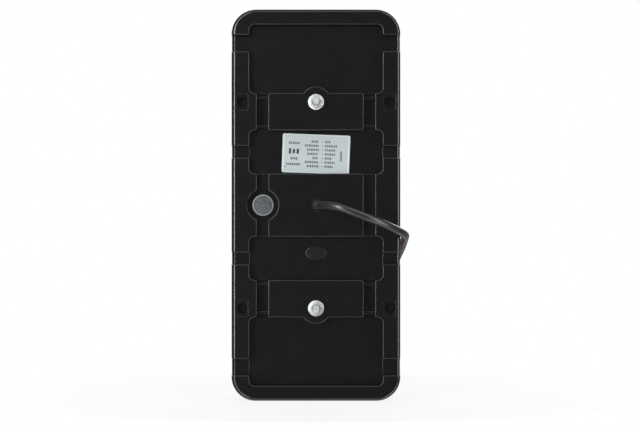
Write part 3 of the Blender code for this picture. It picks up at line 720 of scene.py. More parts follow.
outlet = [(0, -proud), (cable_hole + outlet_round + proud, -proud)]
for angle in (0, 22, 45, 68, 90):
    sine, cosine = math.sin(math.radians(angle)), math.cos(math.radians(angle))
    outlet.append((cable_hole + outlet_round - outlet_round * sine, outlet_round - outlet_round * cosine))
outlet += [(cable_hole, outlet_depth), (0, outlet_depth)]
marks = [turned("outlet", outlet, cable_x, 0, steps=64)]
spot = [(0, -proud), (spot_radius + proud, -proud), (spot_radius, spot_depth), (0, spot_depth)]
marks += [turned("spot", spot, 0, up * stud_z, steps=96) for up in (1, -1)]
blind_hole = [
    (0, pad_depth - 0.2), (pad_hole_mouth, pad_depth - 0.2), (pad_hole, pad_depth + 0.5),
    (pad_hole, pad_hole_depth), (0, pad_hole_depth),
]
for side in (1, -1):
    for up in (1, -1):
        x, z = side * pad_place[0], up * pad_place[1]
        pad = sunk((x - pad_half[0], x + pad_half[0]), (z - pad_half[1], z + pad_half[1]), pad_depth)
        round_edges(pad, along_depth, pad_corner, 4)
        round_edges(pad, at_depth(pad_depth), pad_floor_round, 2)
        marks += [pad, turned("hole", blind_hole, x, z)]
groove_wide, groove_deep = ejector_groove
groove = [
    (ejector_radius, -1), (ejector_radius + groove_wide, -1), (ejector_radius + groove_wide / 2, groove_deep),
]
marks += [turned("ring", groove, x, z, closed=True) for x, z in ejector_marks]
dimple_outline = [
    (0, -proud), (dimple_mouth, -proud), (dimple_mouth, -0.1), (dimple_radius, 0.2),
    (dimple_radius, dimple_depth), (0, dimple_depth),
]
marks.append(turned("dimple", dimple_outline, *dimple, steps=24))
carve(shell, marks)
print("marks:", len(marks))

# %% Housing: the hollow inside
cavity_depth = 10.5
cavity_wall = 4.0
ledge_depth = 23.5
ledge_wall = 2.5
back_wall = 2.5
board_depth = 16.0
board_screws = [(x, z) for x in (-18.0, 18.0) for z in (-94.0, 94.0)]
stud_bore = 2.8
boss_inside = 11.0
vent_bore = 2.5
post_radius = 3.5
post_bore = 1.4
weld = 0.3

inside = []
for wall, start in ((cavity_wall, cavity_depth), (ledge_wall, ledge_depth)):
    x, z = half_wide - wall, half_high - wall
    inside.append(sunk((-x, x), (-z, z), rim_depth + proud, start))
    round_edges(inside[-1], along_depth, corner_radius - wall, round_steps)
core_x = channel[0] - back_wall
for up in (1, -1):
    span = on_side((inner_pocket[1] + back_wall, outer_pocket[0] - back_wall), up)
    inside.append(sunk((-core_x, core_x), span, cavity_depth + weld, back_wall))
middle_x = (vent_x + vent_recess + back_wall, core_x)
middle_z = inner_pocket[0] - back_wall
inside.append(sunk(middle_x, (-middle_z, middle_z), cavity_depth + weld, back_wall))
carve(shell, inside)
post_depths = (cavity_depth - weld, board_depth - weld)
posts = [bar("boss", 0, up * stud_z, (1.5, boss_inside), boss_radius - 0.7) for up in (1, -1)]
posts += [bar("post", x, z, post_depths, post_radius, 32) for x, z in board_screws]
carve(shell, posts, "UNION")
bores = [bar("bore", 0, up * stud_z, (-proud, boss_inside + proud), stud_bore, 48) for up in (1, -1)]
bores.append(bar("bore", vent_x, 0, (pocket_depth - overlap, cavity_depth + overlap), vent_bore, 32))
bores += [bar("bore", x, z, (boss_inside, board_depth + overlap), post_bore, 24) for x, z in board_screws]
carve(shell, bores)
smooth(shell)
dress(shell, "lamp", "black_housing", "housing")

# %% [markdown]
# ## Studs, nuts and flange washers
#
# Two M5 bolts are set into the housing with their threads outwards. A thread is one ridge wound
# round a rod, so a zigzag outline goes through the screw modifier, climbing by the pitch in one
# turn. The two ragged ends are then trimmed with a bar that has the bolt's chamfered tip.

# %% Studs
pitch = 0.8
stud_radius = 2.5
thread_root = 2.01
stud_tip = -20.0
head_depths = (12.6, 15.1)
head_radius = 5.5
head_edge = 0.3
tip_chamfer = 0.6
thread_crest = (0.4375, 0.5625)
thread_steps = 32
thread_merge = 0.005 * mm
stock_over = 0.2
centre_drill = (0.7, 0.9)


def thread(name):
    """A closed helical thread along Z, long enough for a stud at both ends."""
    foot = -head_depths[1] - 2 * pitch
    turns = math.ceil((-stud_tip - foot) / pitch) + 2
    outline = []
    for turn in range(turns):
        height = foot + turn * pitch
        outline.append((thread_root, height))
        outline += [(stud_radius, height + share * pitch) for share in thread_crest]
    outline.append((thread_root, foot + turns * pitch))
    mesh = bpy.data.meshes.new(name)
    points = [(radius * mm, 0, height * mm) for radius, height in outline]
    mesh.from_pydata(points, [(i, i + 1) for i in range(len(points) - 1)], [])
    made = bpy.data.objects.new(name, mesh)
    scene.collection.objects.link(made)
    use_modifier(
        made, "SCREW", axis="Z", angle=math.tau, screw_offset=pitch * mm,
        steps=thread_steps, render_steps=thread_steps,
    )
    bpy.ops.object.mode_set(mode="EDIT")
    bpy.ops.mesh.select_all(action="SELECT")
    bpy.ops.mesh.remove_doubles(threshold=thread_merge)
    bpy.ops.mesh.select_mode(type="EDGE")
    bpy.ops.mesh.select_all(action="DESELECT")
    bpy.ops.mesh.select_non_manifold()
    bpy.ops.mesh.fill()
    bpy.ops.mesh.select_all(action="SELECT")
    bpy.ops.mesh.normals_make_consistent(inside=False)
    bpy.ops.object.mode_set(mode="OBJECT")
    return made


def threaded_stud(name, z):
    """A bolt with its helical thread, its chamfered tip and its head inside the housing."""
    made = thread(name)
    made.rotation_euler = level_turn
    made.location = at(0, 0, z)
    keep_place(made, name)
    head_seat, head_top = head_depths
    stock = stud_radius + stock_over
    stock_end = head_seat + overlap
    trim = [
        (0, stud_tip), (stud_radius - tip_chamfer, stud_tip), (stock, stud_tip + tip_chamfer + stock_over),
        (stock, stock_end), (0, stock_end),
    ]
    carve(made, [turned("trim", trim, 0, z)], "INTERSECT")
    drill_radius, drill_depth = centre_drill
    centre = [
        (0, stud_tip - overlap), (2 * drill_radius, stud_tip - overlap), (drill_radius, stud_tip),
        (0, stud_tip + drill_depth),
    ]
    carve(made, [turned("centre", centre, 0, z)])
    head = [
        (0, head_seat), (head_radius - head_edge, head_seat), (head_radius, head_seat + head_edge),
        (head_radius, head_top - head_edge), (head_radius - head_edge, head_top), (0, head_top),
    ]
    carve(made, [turned("head", head, 0, z)], "UNION")
    smooth(made, 30)
    return made


studs = {}
for word, up in (("upper", 1), ("lower", -1)):
    stud = threaded_stud(f"{word}_threaded_stud", up * stud_z)
    studs[word] = dress(stud, "lamp", "zinc_steel", f"{word}_stud")

# %% [markdown]
# Each nut is a six-sided bar whose corners are turned off on both ends, the usual thirty degree
# chamfer, with a countersunk bore. The flange under it is a turned ring, thick at the bore and thin
# at its edge, so that it catches the light as a bright disc.

# %% Nuts and flange washers
nut_across_flats = 8.0
nut_depths = (-6.0, -1.5)
nut_bore = 2.55
nut_face = 3.8
nut_edge = 0.12
flange_bore = stud_bore + 0.05
flange_radius = 5.95
flange_height = 1.2
flange_across_flats = 11.5
nut_top, nut_seat = nut_depths

# The outlines are given as radius and depth, from the free end to the seat.
nut_outline = [
    (0, nut_top), (nut_face, nut_top), (nut_face + 0.9, nut_top + 0.52),
    (nut_face + 0.9, nut_seat - 0.52), (nut_face, nut_seat), (0, nut_seat),
]
bore_outline = [
    (0, nut_top - 0.1), (nut_bore + 0.55, nut_top - 0.1), (nut_bore, nut_top + 0.45),
    (nut_bore, nut_seat - 0.35), (nut_bore + 0.45, nut_seat + 0.1), (0, nut_seat + 0.1),
]
flange_outline = [
    (flange_bore, -flange_height), (4.4, -flange_height), (5.4, -0.72), (flange_radius - 0.1, -0.5),
    (flange_radius, -0.35), (flange_radius, -0.12), (flange_radius - 0.1, 0), (flange_bore, 0),
]
fixings = {}
for word, up in (("upper", 1), ("lower", -1)):
    z = up * stud_z
    nut = bar(f"{word}_hex_nut", 0, z, nut_depths, nut_across_flats / math.sqrt(3), sides=6)
    carve(nut, [turned("trim", nut_outline, 0, z, steps=72)], "INTERSECT")
    carve(nut, [turned("bore", bore_outline, 0, z)])
    tidy_mesh(nut, 0.2)
    use_modifier(
        nut, "BEVEL", width=nut_edge * mm, segments=2, limit_method="ANGLE", angle_limit=math.radians(25),
    )
    smooth(nut, 30)
    dress(nut, f"{word}_nut", "zinc_steel", f"{word}_nut")
    flange = turned(f"{word}_flange_washer", flange_outline, 0, z, closed=True, steps=72)
    hexagon = bar("hexagon", 0, z, (-proud, proud), flange_across_flats / math.sqrt(3), sides=6)
    carve(flange, [hexagon], "INTERSECT")
    smooth(flange, 50)
    dress(flange, f"{word}_washer", "zinc_steel", f"{word}_washer")
    fixings[word] = (nut, flange)

# %% [markdown]
# ## Breather
#
# A grey plastic cap with a bevelled rim holds a porous disc that lets the lamp breathe. Its face is
# uneven, with a dot in the middle and two rings of low domes around it.

# %% Breather
# Both outlines are radius and depth. Each ring of domes is its radius, its count and the domes' radius.
cap_outline = [
    (0, 6.4), (6.95, 6.4), (6.95, 5.8), (7.1, 5.6), (7.45, 5.6), (7.75, 5.75), (7.9, 6.1), (7.9, 7.2),
    (0, 7.2),
]
disc_outline = [(0, 5.85), (6.6, 5.85), (6.85, 5.95), (6.85, 6.1), (0, 6.1)]
dome_rings = ((0.0, 1, 0.95), (2.3, 6, 0.75), (4.5, 11, 0.9))
dome_depth = 5.9
dome_squash = 0.38

cap = turned("breather_cap", cap_outline, vent_x, 0, steps=72)
smooth(cap, 35)
dress(cap, "lamp", "grey_vent", "vent_cap")
disc = turned("breather_disc", disc_outline, vent_x, 0, steps=72)
domes = []
for ring_radius, count, size in dome_rings:
    for i in range(count):
        angle = math.tau * i / count
        bpy.ops.object.select_all(action="DESELECT")
        bpy.ops.mesh.primitive_ico_sphere_add(subdivisions=3, radius=size * mm)
        dome = bpy.context.object
        dome.scale = (1, dome_squash, 1)
        dome.location = at(vent_x + ring_radius * math.cos(angle), dome_depth, ring_radius * math.sin(angle))
        domes.append(keep_place(dome, "dome"))
carve(disc, domes, "UNION")
smooth(disc, 60)
dress(disc, "lamp", "vent_membrane", "vent_membrane")

# %% [markdown]
# ## Label
#
# A vinyl label is stuck into the upper inner pocket, a little askew. Its print stands on it as thin
# blocks of dark ink, in short rows. The blocks could be painted by the material, but as pieces they
# keep their sharp edges. They are laid out square to the lamp and then turned with the label.

# %% Label
label_z = 38.0
label_half = (25.0, 14.4)
label_corner = 1.2
label_turn = math.radians(2.2)
label_front = 7.2
label_back = 7.5
ink_height = 0.03
row_height = 1.8
row_step = 3.05
first_row = 9.1
middle_end = 2.1
middle_widths = (5.6, 10.3, 8.8, 8.4, 4.4, 10.2, 8.6)
dot_place = 4.4
dot_size = 0.7
right_start = 6.7
right_widths = (4.4, 8.8, 7.3, 7.3, 5.6, 7.3, 7.1)
# Each row on the left is its start, its middle, its width and its height.
left_rows = (
    (-20.3, 7.6, 8.8, 1.9), (-20.2, 1.5, 8.6, 4.0), (-18.6, -3.9, 5.4, 1.9), (-21.7, -8.1, 11.5, 1.9),
)
side_place = (17.9, 2.0)
side_count = 6
side_step = 1.3
side_size = (1.5, 0.85)
corner_dot = (-23.0, -10.2)
corner_dot_size = 0.9
ink_pitch = 0.72
ink_share = 0.62
ink_heights = (1.0, 0.78, 0.92)


def ink_block(left, middle, width, height):
    """A thin block of ink on the label, in millimetres from the label's middle."""
    low = at(left, label_front - ink_height, label_z + middle - height / 2)
    high = at(left + width, label_front + ink_height / 2, label_z + middle + height / 2)
    return block("ink", low, high)


def ink_row(left, middle, width, height):
    """A row of blocks of unlike height, as many as its width holds."""
    step = ink_pitch * height
    return [
        ink_block(left + i * step, middle, ink_share * step, height * ink_heights[i % len(ink_heights)])
        for i in range(max(1, round(width / step)))
    ]


ink = []
for row in left_rows:
    ink += ink_row(*row)
for number, (middle_width, right_width) in enumerate(zip(middle_widths, right_widths)):
    height = first_row - number * row_step
    ink += ink_row(middle_end - middle_width, height, middle_width, row_height)
    ink.append(ink_block(dot_place, height, dot_size, dot_size))
    ink += ink_row(right_start, height, right_width, row_height)
for number in range(side_count):
    ink.append(ink_block(side_place[0], side_place[1] - side_step * number, *side_size))
ink.append(ink_block(*corner_dot, corner_dot_size, corner_dot_size))
label_wide = (-label_half[0], label_half[0])
label_high = (label_z - label_half[1], label_z + label_half[1])
sheet = sunk(label_wide, label_high, label_back, label_front)
sheet.name = "label_sheet"
round_edges(sheet, along_depth, label_corner, 5)
label_print = join(ink)
label_print.name = "label_print"
label_middle = Matrix.Translation(at(0, 0, label_z))
for piece in (sheet, label_print):
    piece.data.transform(label_middle @ Matrix.Rotation(label_turn, 4, "Y") @ label_middle.inverted())
smooth(sheet)
dress(sheet, "lamp", "pale_label", "rating_label")
dress(label_print, "lamp", "pale_label")

# %% [markdown]
# ## Lens
#
# The front is one shallow tray of clear and coloured acrylic, welded to the rim in four fields. Its
# inner face is moulded with small optics that spread the light. A grid is poked into low pyramids
# and made a block, and the hollow of the lens is where that block and a rounded one overlap.

# %% Lens blank
lens_depths = (27.9, 40.0)
lens_wall = 2.5
lens_edge = 5.0
optic_cell = 5.2
optic_rise = 0.4


def cell_block(name, half_x, half_z, depth, cell, rise, reach):
    """A block whose face at this depth is a grid of low pyramids that point to the rear."""
    bpy.ops.object.select_all(action="DESELECT")
    bpy.ops.mesh.primitive_grid_add(
        x_subdivisions=round(2 * half_x / cell), y_subdivisions=round(2 * half_z / cell), size=1,
        location=at(0, depth, 0), rotation=level_turn,
    )
    bpy.context.object.scale = (2 * half_x * mm, 2 * half_z * mm, 1)
    made = keep_place(bpy.context.object, name)
    bpy.ops.object.mode_set(mode="EDIT")
    bpy.ops.mesh.select_all(action="SELECT")
    bpy.ops.mesh.poke(offset=rise * mm)
    bpy.ops.mesh.extrude_region_move(TRANSFORM_OT_translate={"value": (0, (reach - depth) * mm, 0)})
    bpy.ops.mesh.select_all(action="SELECT")
    bpy.ops.mesh.normals_make_consistent(inside=False)
    bpy.ops.object.mode_set(mode="OBJECT")
    return made


lens_blank = sunk((-half_wide, half_wide), (-half_high, half_high), lens_depths[1], lens_depths[0])
round_edges(lens_blank, along_depth, corner_radius, round_steps)
round_edges(lens_blank, at_depth(lens_depths[1]), lens_edge, edge_steps)
inner_x, inner_z, inner_depth = half_wide - lens_wall, half_high - lens_wall, lens_depths[1] - lens_wall
hollow = sunk((-inner_x, inner_x), (-inner_z, inner_z), inner_depth, lens_depths[0] - proud)
round_edges(hollow, along_depth, corner_radius - lens_wall, round_steps)
round_edges(hollow, at_depth(inner_depth), lens_edge - lens_wall, 4)
optics = cell_block(
    "optics", half_wide, half_high, inner_depth, optic_cell, optic_rise, lens_depths[0] - 2 * proud,
)
carve(hollow, [optics], "INTERSECT")
carve(lens_blank, [hollow])
print("lens blank:", len(lens_blank.data.polygons), "faces")

# %% Lens fields
field_gap = 0.15
fields = {"indicator": "amber_lens", "stop_tail": "red_lens", "reverse": "clear_lens", "fog": "red_lens"}
field_rows = (half_high + proud, 48.0, -48.0, -96.0, -half_high - proud)
field_wide = (-half_wide - proud, half_wide + proud)
lenses = {}
for (word, slot), top, bottom in zip(fields.items(), field_rows, field_rows[1:]):
    lens = copy_of(lens_blank, f"{word}_lens")
    span = (bottom + field_gap, top - field_gap)
    carve(lens, [sunk(field_wide, span, lens_depths[1] + proud, lens_depths[0] - proud)], "INTERSECT")
    smooth(lens, 20)
    lens.visible_shadow = False
    lenses[word] = dress(lens, "lamp", slot, f"lens_{word}")
bpy.data.objects.remove(lens_blank)

# %% [markdown]
# Behind the red field lies the reflex panel: smooth in front, and all small prisms behind, which
# send light back where it came from.

# %% Reflex panel
reflex_half = (52.0, 10.5)
reflex_depths = (33.5, 37.2)
reflex_corner = 2.0
prism = 2.6
prism_height = 1.2

reflex = sunk(*[(-half, half) for half in reflex_half], reflex_depths[1], reflex_depths[0])
reflex.name = "reflex_panel"
round_edges(reflex, along_depth, reflex_corner, 5)
prisms = cell_block(
    "prisms", reflex_half[0] + prism, reflex_half[1] + prism, reflex_depths[0] + prism_height,
    prism, prism_height, lens_depths[1],
)
carve(reflex, [prisms], "INTERSECT")
smooth(reflex, 15)
dress(reflex, "lamp", "red_lens", "reflex_reflector")

# %% [markdown]
# The tray is a plate with a bowl round each LED, all metallised. A bowl's wall curves like part of a
# parabola, which gathers the light of the small LED and throws it forwards.

# %% Reflector tray
tray_depths = (23.8, 25.3)
tray_inset = 2.8
bowl_base = 19.6
bowl_radii = (3.6, 16.4)
bowl_wall = 1.6
bowl_curve = 0.8
bowl_rings = 7
bowl_over = 0.2
led_columns = (-36.0, 0.0, 36.0)
led_rows = (114.0, 73.0, 29.0, -29.0, -72.0, -118.0)


def bowl_radius(depth):
    """The inside radius of a bowl at this depth, in millimetres."""
    share = max(0.0, (depth - bowl_base) / (tray_depths[1] - bowl_base))
    return bowl_radii[0] + (bowl_radii[1] - bowl_radii[0]) * share ** bowl_curve


tray_x, tray_z = half_wide - tray_inset, half_high - tray_inset
tray = sunk((-tray_x, tray_x), (-tray_z, tray_z), tray_depths[1], tray_depths[0])
tray.name = "metallised_tray"
round_edges(tray, along_depth, corner_radius - tray_inset, round_steps)
bowl_seat = sum(tray_depths) / 2
bowl_mouth = tray_depths[1] + bowl_over
bowl_steps = [bowl_base + (bowl_mouth - bowl_base) * i / bowl_rings for i in range(bowl_rings + 1)]
bowl_back = [
    (0, bowl_base), *[(bowl_radius(depth) + bowl_wall, depth) for depth in bowl_steps if depth < bowl_seat],
    (bowl_radius(bowl_seat) + bowl_wall, bowl_seat), (0, bowl_seat),
]
bowl_hollow = [
    (0, bowl_base - bowl_over), (bowl_radii[0], bowl_base - bowl_over),
    *[(bowl_radius(depth), depth) for depth in bowl_steps], (0, bowl_steps[-1]),
]
led_places = [(x, z) for x in led_columns for z in led_rows]
backs = [turned("back", bowl_back, x, z) for x, z in led_places]
hollows = [turned("hollow", bowl_hollow, x, z) for x, z in led_places]
carve(tray, backs, "UNION")
carve(tray, hollows)
smooth(tray, 25)
dress(tray, "lamp", "metallised_plastic", "reflector_tray")

# %% [markdown]
# ## Studio
#
# The photograph has a white ground, a dark camera side and light from above and from both sides.
# On black plastic the lamps are seen only as the bright lines along the rims, so their places
# matter more than their power. The world is white where the camera sees it and gives a dim grey
# light. Mirrored rays find it darkest on the camera's side and brightest below, as over a pale table.

# %% Colour and node tools


def linear(code):
    """An sRGB hex colour as the linear values that shaders take."""
    parts = [int(code[i:i + 2], 16) / 255 for i in (1, 3, 5)]
    return (*[p / 12.92 if p <= 0.04045 else ((p + 0.055) / 1.055) ** 2.4 for p in parts], 1.0)


def add_node(tree, kind, settings=None, links=None):
    """Adds a node, sets its values and feeds its sockets from outputs of other nodes."""
    made = tree.nodes.new(kind)
    for name, value in (settings or {}).items():
        if hasattr(made, name):
            setattr(made, name, value)
        else:
            made.inputs[name].default_value = value
    for name, output in (links or {}).items():
        socket = next(s for s in made.inputs if s.enabled and name in (s.name, s.identifier))
        tree.links.new(output, socket)
    return made


# %% World
world_light = 0.3
camera_side = 0.2
overhead = 0.5
overhead_from = (0.25, 0.95)
table = 1.3
table_from = (-0.4, -0.9)
behind = 0.4
behind_from = (0.7, 0.95)

world = bpy.data.worlds.new("studio")
scene.world = world
world.use_nodes = True
tree = world.node_tree
tree.nodes.clear()
rays = add_node(tree, "ShaderNodeLightPath").outputs
direction = add_node(tree, "ShaderNodeTexCoord").outputs["Generated"]
parts = add_node(tree, "ShaderNodeSeparateXYZ", links={"Vector": direction})
upward = add_node(
    tree, "ShaderNodeMapRange",
    {"From Min": overhead_from[0], "From Max": overhead_from[1], "To Min": camera_side, "To Max": overhead},
    {"Value": parts.outputs["Z"]},
)
downward = add_node(
    tree, "ShaderNodeMapRange",
    {"From Min": table_from[0], "From Max": table_from[1], "To Max": table},
    {"Value": parts.outputs["Z"], "To Min": upward.outputs[0]},
)
backward = add_node(
    tree, "ShaderNodeMapRange",
    {"From Min": behind_from[0], "From Max": behind_from[1], "To Max": behind},
    {"Value": parts.outputs["Y"], "To Min": downward.outputs[0]},
)
mirror = add_node(
    tree, "ShaderNodeMath", {"operation": "MAXIMUM"},
    {"Value": rays["Is Glossy Ray"], "Value_001": rays["Is Transmission Ray"]},
)
lit = add_node(
    tree, "ShaderNodeMix", {"A": world_light},
    {"Factor": mirror.outputs[0], "B": backward.outputs[0]},
)
strength = add_node(
    tree, "ShaderNodeMath", {"operation": "MAXIMUM"},
    {"Value": rays["Is Camera Ray"], "Value_001": lit.outputs[0]},
)
sky = add_node(tree, "ShaderNodeBackground", {"Color": (1, 1, 1, 1)}, {"Strength": strength.outputs[0]})
add_node(tree, "ShaderNodeOutputWorld", links={"Surface": sky.outputs[0]})
scene.view_settings.view_transform = "Standard"
print("world:", len(tree.nodes), "nodes")

# %% [markdown]
# The floor is a disc of white paper under the lamp and the coil. It glows towards its edge, where it
# has to melt into the white ground, and less near the lamp, where it keeps the shadow.

# %% Floor
floor_radius = 0.4
floor_place = (0, 0.28, -0.0002)
glow_from = (0.10, 0.32)
glow_share = (0.85, 1.0)

bpy.ops.object.select_all(action="DESELECT")
bpy.ops.mesh.primitive_circle_add(vertices=96, radius=floor_radius, fill_type="NGON", location=floor_place)
floor = keep_place(bpy.context.object, "floor")
floor.visible_glossy = False

paper = bpy.data.materials.new("white_paper_sweep")
paper.use_nodes = True
tree = paper.node_tree
tree.nodes.clear()
matt = add_node(tree, "ShaderNodeBsdfDiffuse", {"Color": linear("#f4f4f4")})
glow = add_node(tree, "ShaderNodeEmission", {"Color": (1, 1, 1, 1), "Strength": 1.0})
rays = add_node(tree, "ShaderNodeLightPath").outputs
place = add_node(tree, "ShaderNodeTexCoord").outputs["Object"]
far = add_node(tree, "ShaderNodeVectorMath", {"operation": "LENGTH"}, {"Vector": place})
fade = add_node(
    tree, "ShaderNodeMapRange",
    {"interpolation_type": "SMOOTHSTEP", "From Min": glow_from[0], "From Max": glow_from[1],
     "To Min": glow_share[0], "To Max": glow_share[1]},
    {"Value": far.outputs["Value"]},
)
seen = add_node(
    tree, "ShaderNodeMath", {"operation": "MULTIPLY"},
    {"Value": rays["Is Camera Ray"], "Value_001": fade.outputs[0]},
)
mixed = add_node(
    tree, "ShaderNodeMixShader", None,
    {"Fac": seen.outputs[0], "Shader": matt.outputs[0], "Shader_001": glow.outputs[0]},
)
add_node(tree, "ShaderNodeOutputMaterial", links={"Surface": mixed.outputs[0]})
floor.data.materials.append(paper)
print("floor", 2 * floor_radius, "m across")

# %% [markdown]
# Five soft boxes light the lamp, three on the camera's side and two on the lens side. The four narrow
# cards show only in reflections, as bright lines along the rims that slant at the corners.

# %% Lamps
aim_depth = 10


def studio_lamp(name, place, size, watts, roll=0.0, only_mirrored=False):
    """A soft area lamp, turned to the middle of the housing. A card that is only mirrored gives no light."""
    data = bpy.data.lights.new(name, "AREA")
    data.shape = "RECTANGLE"
    data.size, data.size_y = size
    data.energy = watts
    made = bpy.data.objects.new(name, data)
    made.location = place
    aim = (at(0, aim_depth, 0) - made.location).to_track_quat("-Z", "Y")
    made.rotation_euler = (aim @ Quaternion((0, 0, 1), math.radians(roll))).to_euler()
    made.visible_camera = False
    made.visible_diffuse = not only_mirrored
    scene.collection.objects.link(made)


studio_lamp("left_box", (-0.72, -1.04, 0.25), (0.2, 0.8), 11.4)
studio_lamp("right_box", (1.09, -0.63, 0.25), (0.24, 0.8), 7.0)
studio_lamp("top_box", (0.0, -0.55, 1.25), (1.2, 0.4), 2.4)
studio_lamp("left_card", (-0.57, -0.97, 0.72), (0.11, 0.75), 5.5, roll=-45, only_mirrored=True)
studio_lamp("right_card", (0.77, -0.63, 0.92), (0.11, 0.9), 4.0, roll=45, only_mirrored=True)
studio_lamp("lower_left_card", (-0.57, -0.97, -0.43), (0.11, 0.75), 5.5, roll=45, only_mirrored=True)
studio_lamp("lower_right_card", (0.77, -0.63, -0.63), (0.11, 0.9), 4.0, roll=-45, only_mirrored=True)
studio_lamp("front_left", (-0.45, 1.2, 0.85), (0.6, 0.8), 7.0)
studio_lamp("front_right", (0.45, 1.2, 0.85), (0.6, 0.8), 7.0)
print("five lamps and four cards")

# %% [markdown]
# ## Finishes
#
# Every finish is built alike: slow clouds change its shade and its gloss a little, and a fine grain
# stands out from it as a bump. A finish with a drawing of its own, such as the label's border, gives
# a pattern for the shade instead of the clouds. All sizes are in real millimetres.

# %% Finishes
shade_stops = (0.3, 0.7)
grain_detail = 3.0
bump_height = 0.05 * mm


def finish(name, shades, roughness, cloud, grain, bump, pattern=None, **values):
    """A material from two shades, two roughnesses, the sizes of its clouds and grain, and its bump."""
    made = bpy.data.materials.new(name)
    made.use_nodes = True
    tree = made.node_tree
    shader = tree.nodes["Principled BSDF"]
    for socket, value in values.items():
        shader.inputs[socket.replace("_", " ")].default_value = value
    place = add_node(tree, "ShaderNodeTexCoord").outputs["Object"]
    slow = add_node(tree, "ShaderNodeTexNoise", {"Scale": 1 / (cloud * mm)}, {"Vector": place})
    fine = add_node(
        tree, "ShaderNodeTexNoise", {"Scale": 1 / (grain * mm), "Detail": grain_detail}, {"Vector": place},
    )
    drive = pattern(tree, place) if pattern else slow.outputs["Fac"]
    ramp = add_node(tree, "ShaderNodeValToRGB", links={"Fac": drive})
    for element, position, shade in zip(ramp.color_ramp.elements, shade_stops, shades):
        element.position = position
        element.color = linear(shade)
    gloss = add_node(
        tree, "ShaderNodeMapRange",
        {"To Min": roughness[0], "To Max": roughness[1]}, {"Value": slow.outputs["Fac"]},
    )
    relief = add_node(
        tree, "ShaderNodeBump", {"Strength": bump, "Distance": bump_height}, {"Height": fine.outputs["Fac"]},
    )
    for socket, output in (("Base Color", ramp.outputs["Color"]), ("Roughness", gloss.outputs[0]),
                           ("Normal", relief.outputs[0])):
        tree.links.new(output, shader.inputs[socket])
    return made


def cover(material, *pieces):
    """Gives pieces one material all over."""
    for piece in pieces:
        piece.data.materials.clear()
        piece.data.materials.append(material)


nodes = frame["nodes"]

# %% [markdown]
# ## Plastics and rubber
#
# The housing is moulded in black polypropylene from a finely eroded tool. The grain of that tool is
# under 0.1 mm, too fine for the picture, so it is drawn 0.3 mm wide. The rims get a paler slot of
# their own, a painted highlight where the rounded rims catch the light, chosen face by face by place
# and slant. The other plastics differ in shade, in gloss and in the size of their grain.

# %% The housing's plastic
# Where the rims' roundings lie and how far they slant, for the painted rim highlight.
highlight_levels = (0.0, shallow, pocket_depth)
highlight_slant = (0.1, 0.99)
pocket_margin = 1.0
notch_margin = 0.8
pad_margin = 0.5
hole_margin = 1.0
oval_margin = 0.3

# A satin black, so dark that the eye sees mostly what its rounded edges mirror.
satin = finish("moulded_black_polypropylene", ("#08080a", "#0d0d0e"), (0.18, 0.22), 11.0, 0.3, 0.01)
# The same plastic off a rougher spot of the tool, which looks a shade greyer.
eroded = finish("eroded_black_polypropylene", ("#0d0d0f", "#121214"), (0.26, 0.31), 4.0, 0.5, 0.03)
# The same plastic along the rims of the recesses, painted paler as a highlight where the rounded rims catch
# the light.
painted_rim_highlight = finish("black_polypropylene_painted_rim_highlight", ("#1f1f21", "#29292b"), (0.28, 0.34), 5.0, 0.5, 0.02)
cover(satin, shell)
shell.data.materials.append(eroded)
shell.data.materials.append(painted_rim_highlight)


def takes_painted_highlight(face):
    """True for a slanting face on the rounding of a rim or of a step between two floors, which takes the
    painted highlight.
    """
    x, z = abs(face.center.x) / mm, abs(face.center.z - mid_z) / mm
    in_pockets = x < pocket_half + pocket_margin and z < outer_pocket[1] + pocket_margin
    from_notch = min(abs(z - row) for row in (*outer_notch, *inner_notch))
    at_notch = x < half_wide - rear_edge_radius and from_notch < notch_margin
    from_pad = (abs(x - pad_place[0]), abs(z - pad_place[1]))
    on_pad = all(gap < half + pad_margin for gap, half in zip(from_pad, pad_half))
    at_pad = on_pad and math.hypot(*from_pad) > pad_hole + hole_margin
    rounded = any(0 < depth_of(face.center) - level < rim_round for level in highlight_levels)
    slanting = highlight_slant[0] < -face.normal.y < highlight_slant[1]
    return (in_pockets or at_notch or at_pad) and rounded and slanting


# The oval's face takes the greyer slot; the rounded rims take the paler slot, a painted highlight.
highlight_count = 0
for face in shell.data.polygons:
    off = (face.center - at(oval[0], oval_top, oval[1])) / mm
    if abs(off.y) < oval_margin and math.hypot(off.x / oval_stretch, off.z) < oval_half_high:
        face.material_index = 1
    elif takes_painted_highlight(face):
        face.material_index = 2
        highlight_count += 1
print(highlight_count, "rubbed faces")

# %% Plastics and rubber
# Black and half glossy, a little dusty and dented along its length.
pvc = finish("extruded_black_pvc", ("#1f1f22", "#27272a"), (0.27, 0.33), 7.0, 1.2, 0.15)
cover(pvc, sheath, nodes["cable_inner"])
# A smooth waxy face.
nylon = finish("black_nylon", ("#141414", "#1c1c1c"), (0.38, 0.46), 5.0, 0.8, 0.2)
cover(nylon, tie, nodes["strain_relief_tie"])
# Dull, with a chalky bloom.
rubber = finish("black_epdm_rubber", ("#151515", "#1f1f1f"), (0.68, 0.76), 5.0, 0.7, 0.4)
seals = ("cable_grommet", "lens_gasket", "upper_stud_seal", "lower_stud_seal")
cover(rubber, *[nodes[name] for name in seals])
# A mineral grey-black with a fine matt grain.
epoxy = finish("black_epoxy_package", ("#1a1a1b", "#222224"), (0.5, 0.6), 3.0, 0.5, 0.3)
packages = ("regulator_chip", "driver_inductor", "wire_header")
cover(epoxy, *[nodes[name] for name in packages])
core_colours = {
    "red": ("#a3141a", "#b51c22"), "yellow": ("#d9b01c", "#e6bf2c"), "black": ("#151515", "#1e1e1e"),
    "brown": ("#54301c", "#613a24"), "blue": ("#1d3f94", "#2549a4"), "green": ("#1c6b35", "#257a3f"),
    "white": ("#d6d5d0", "#e2e1dc"),
}
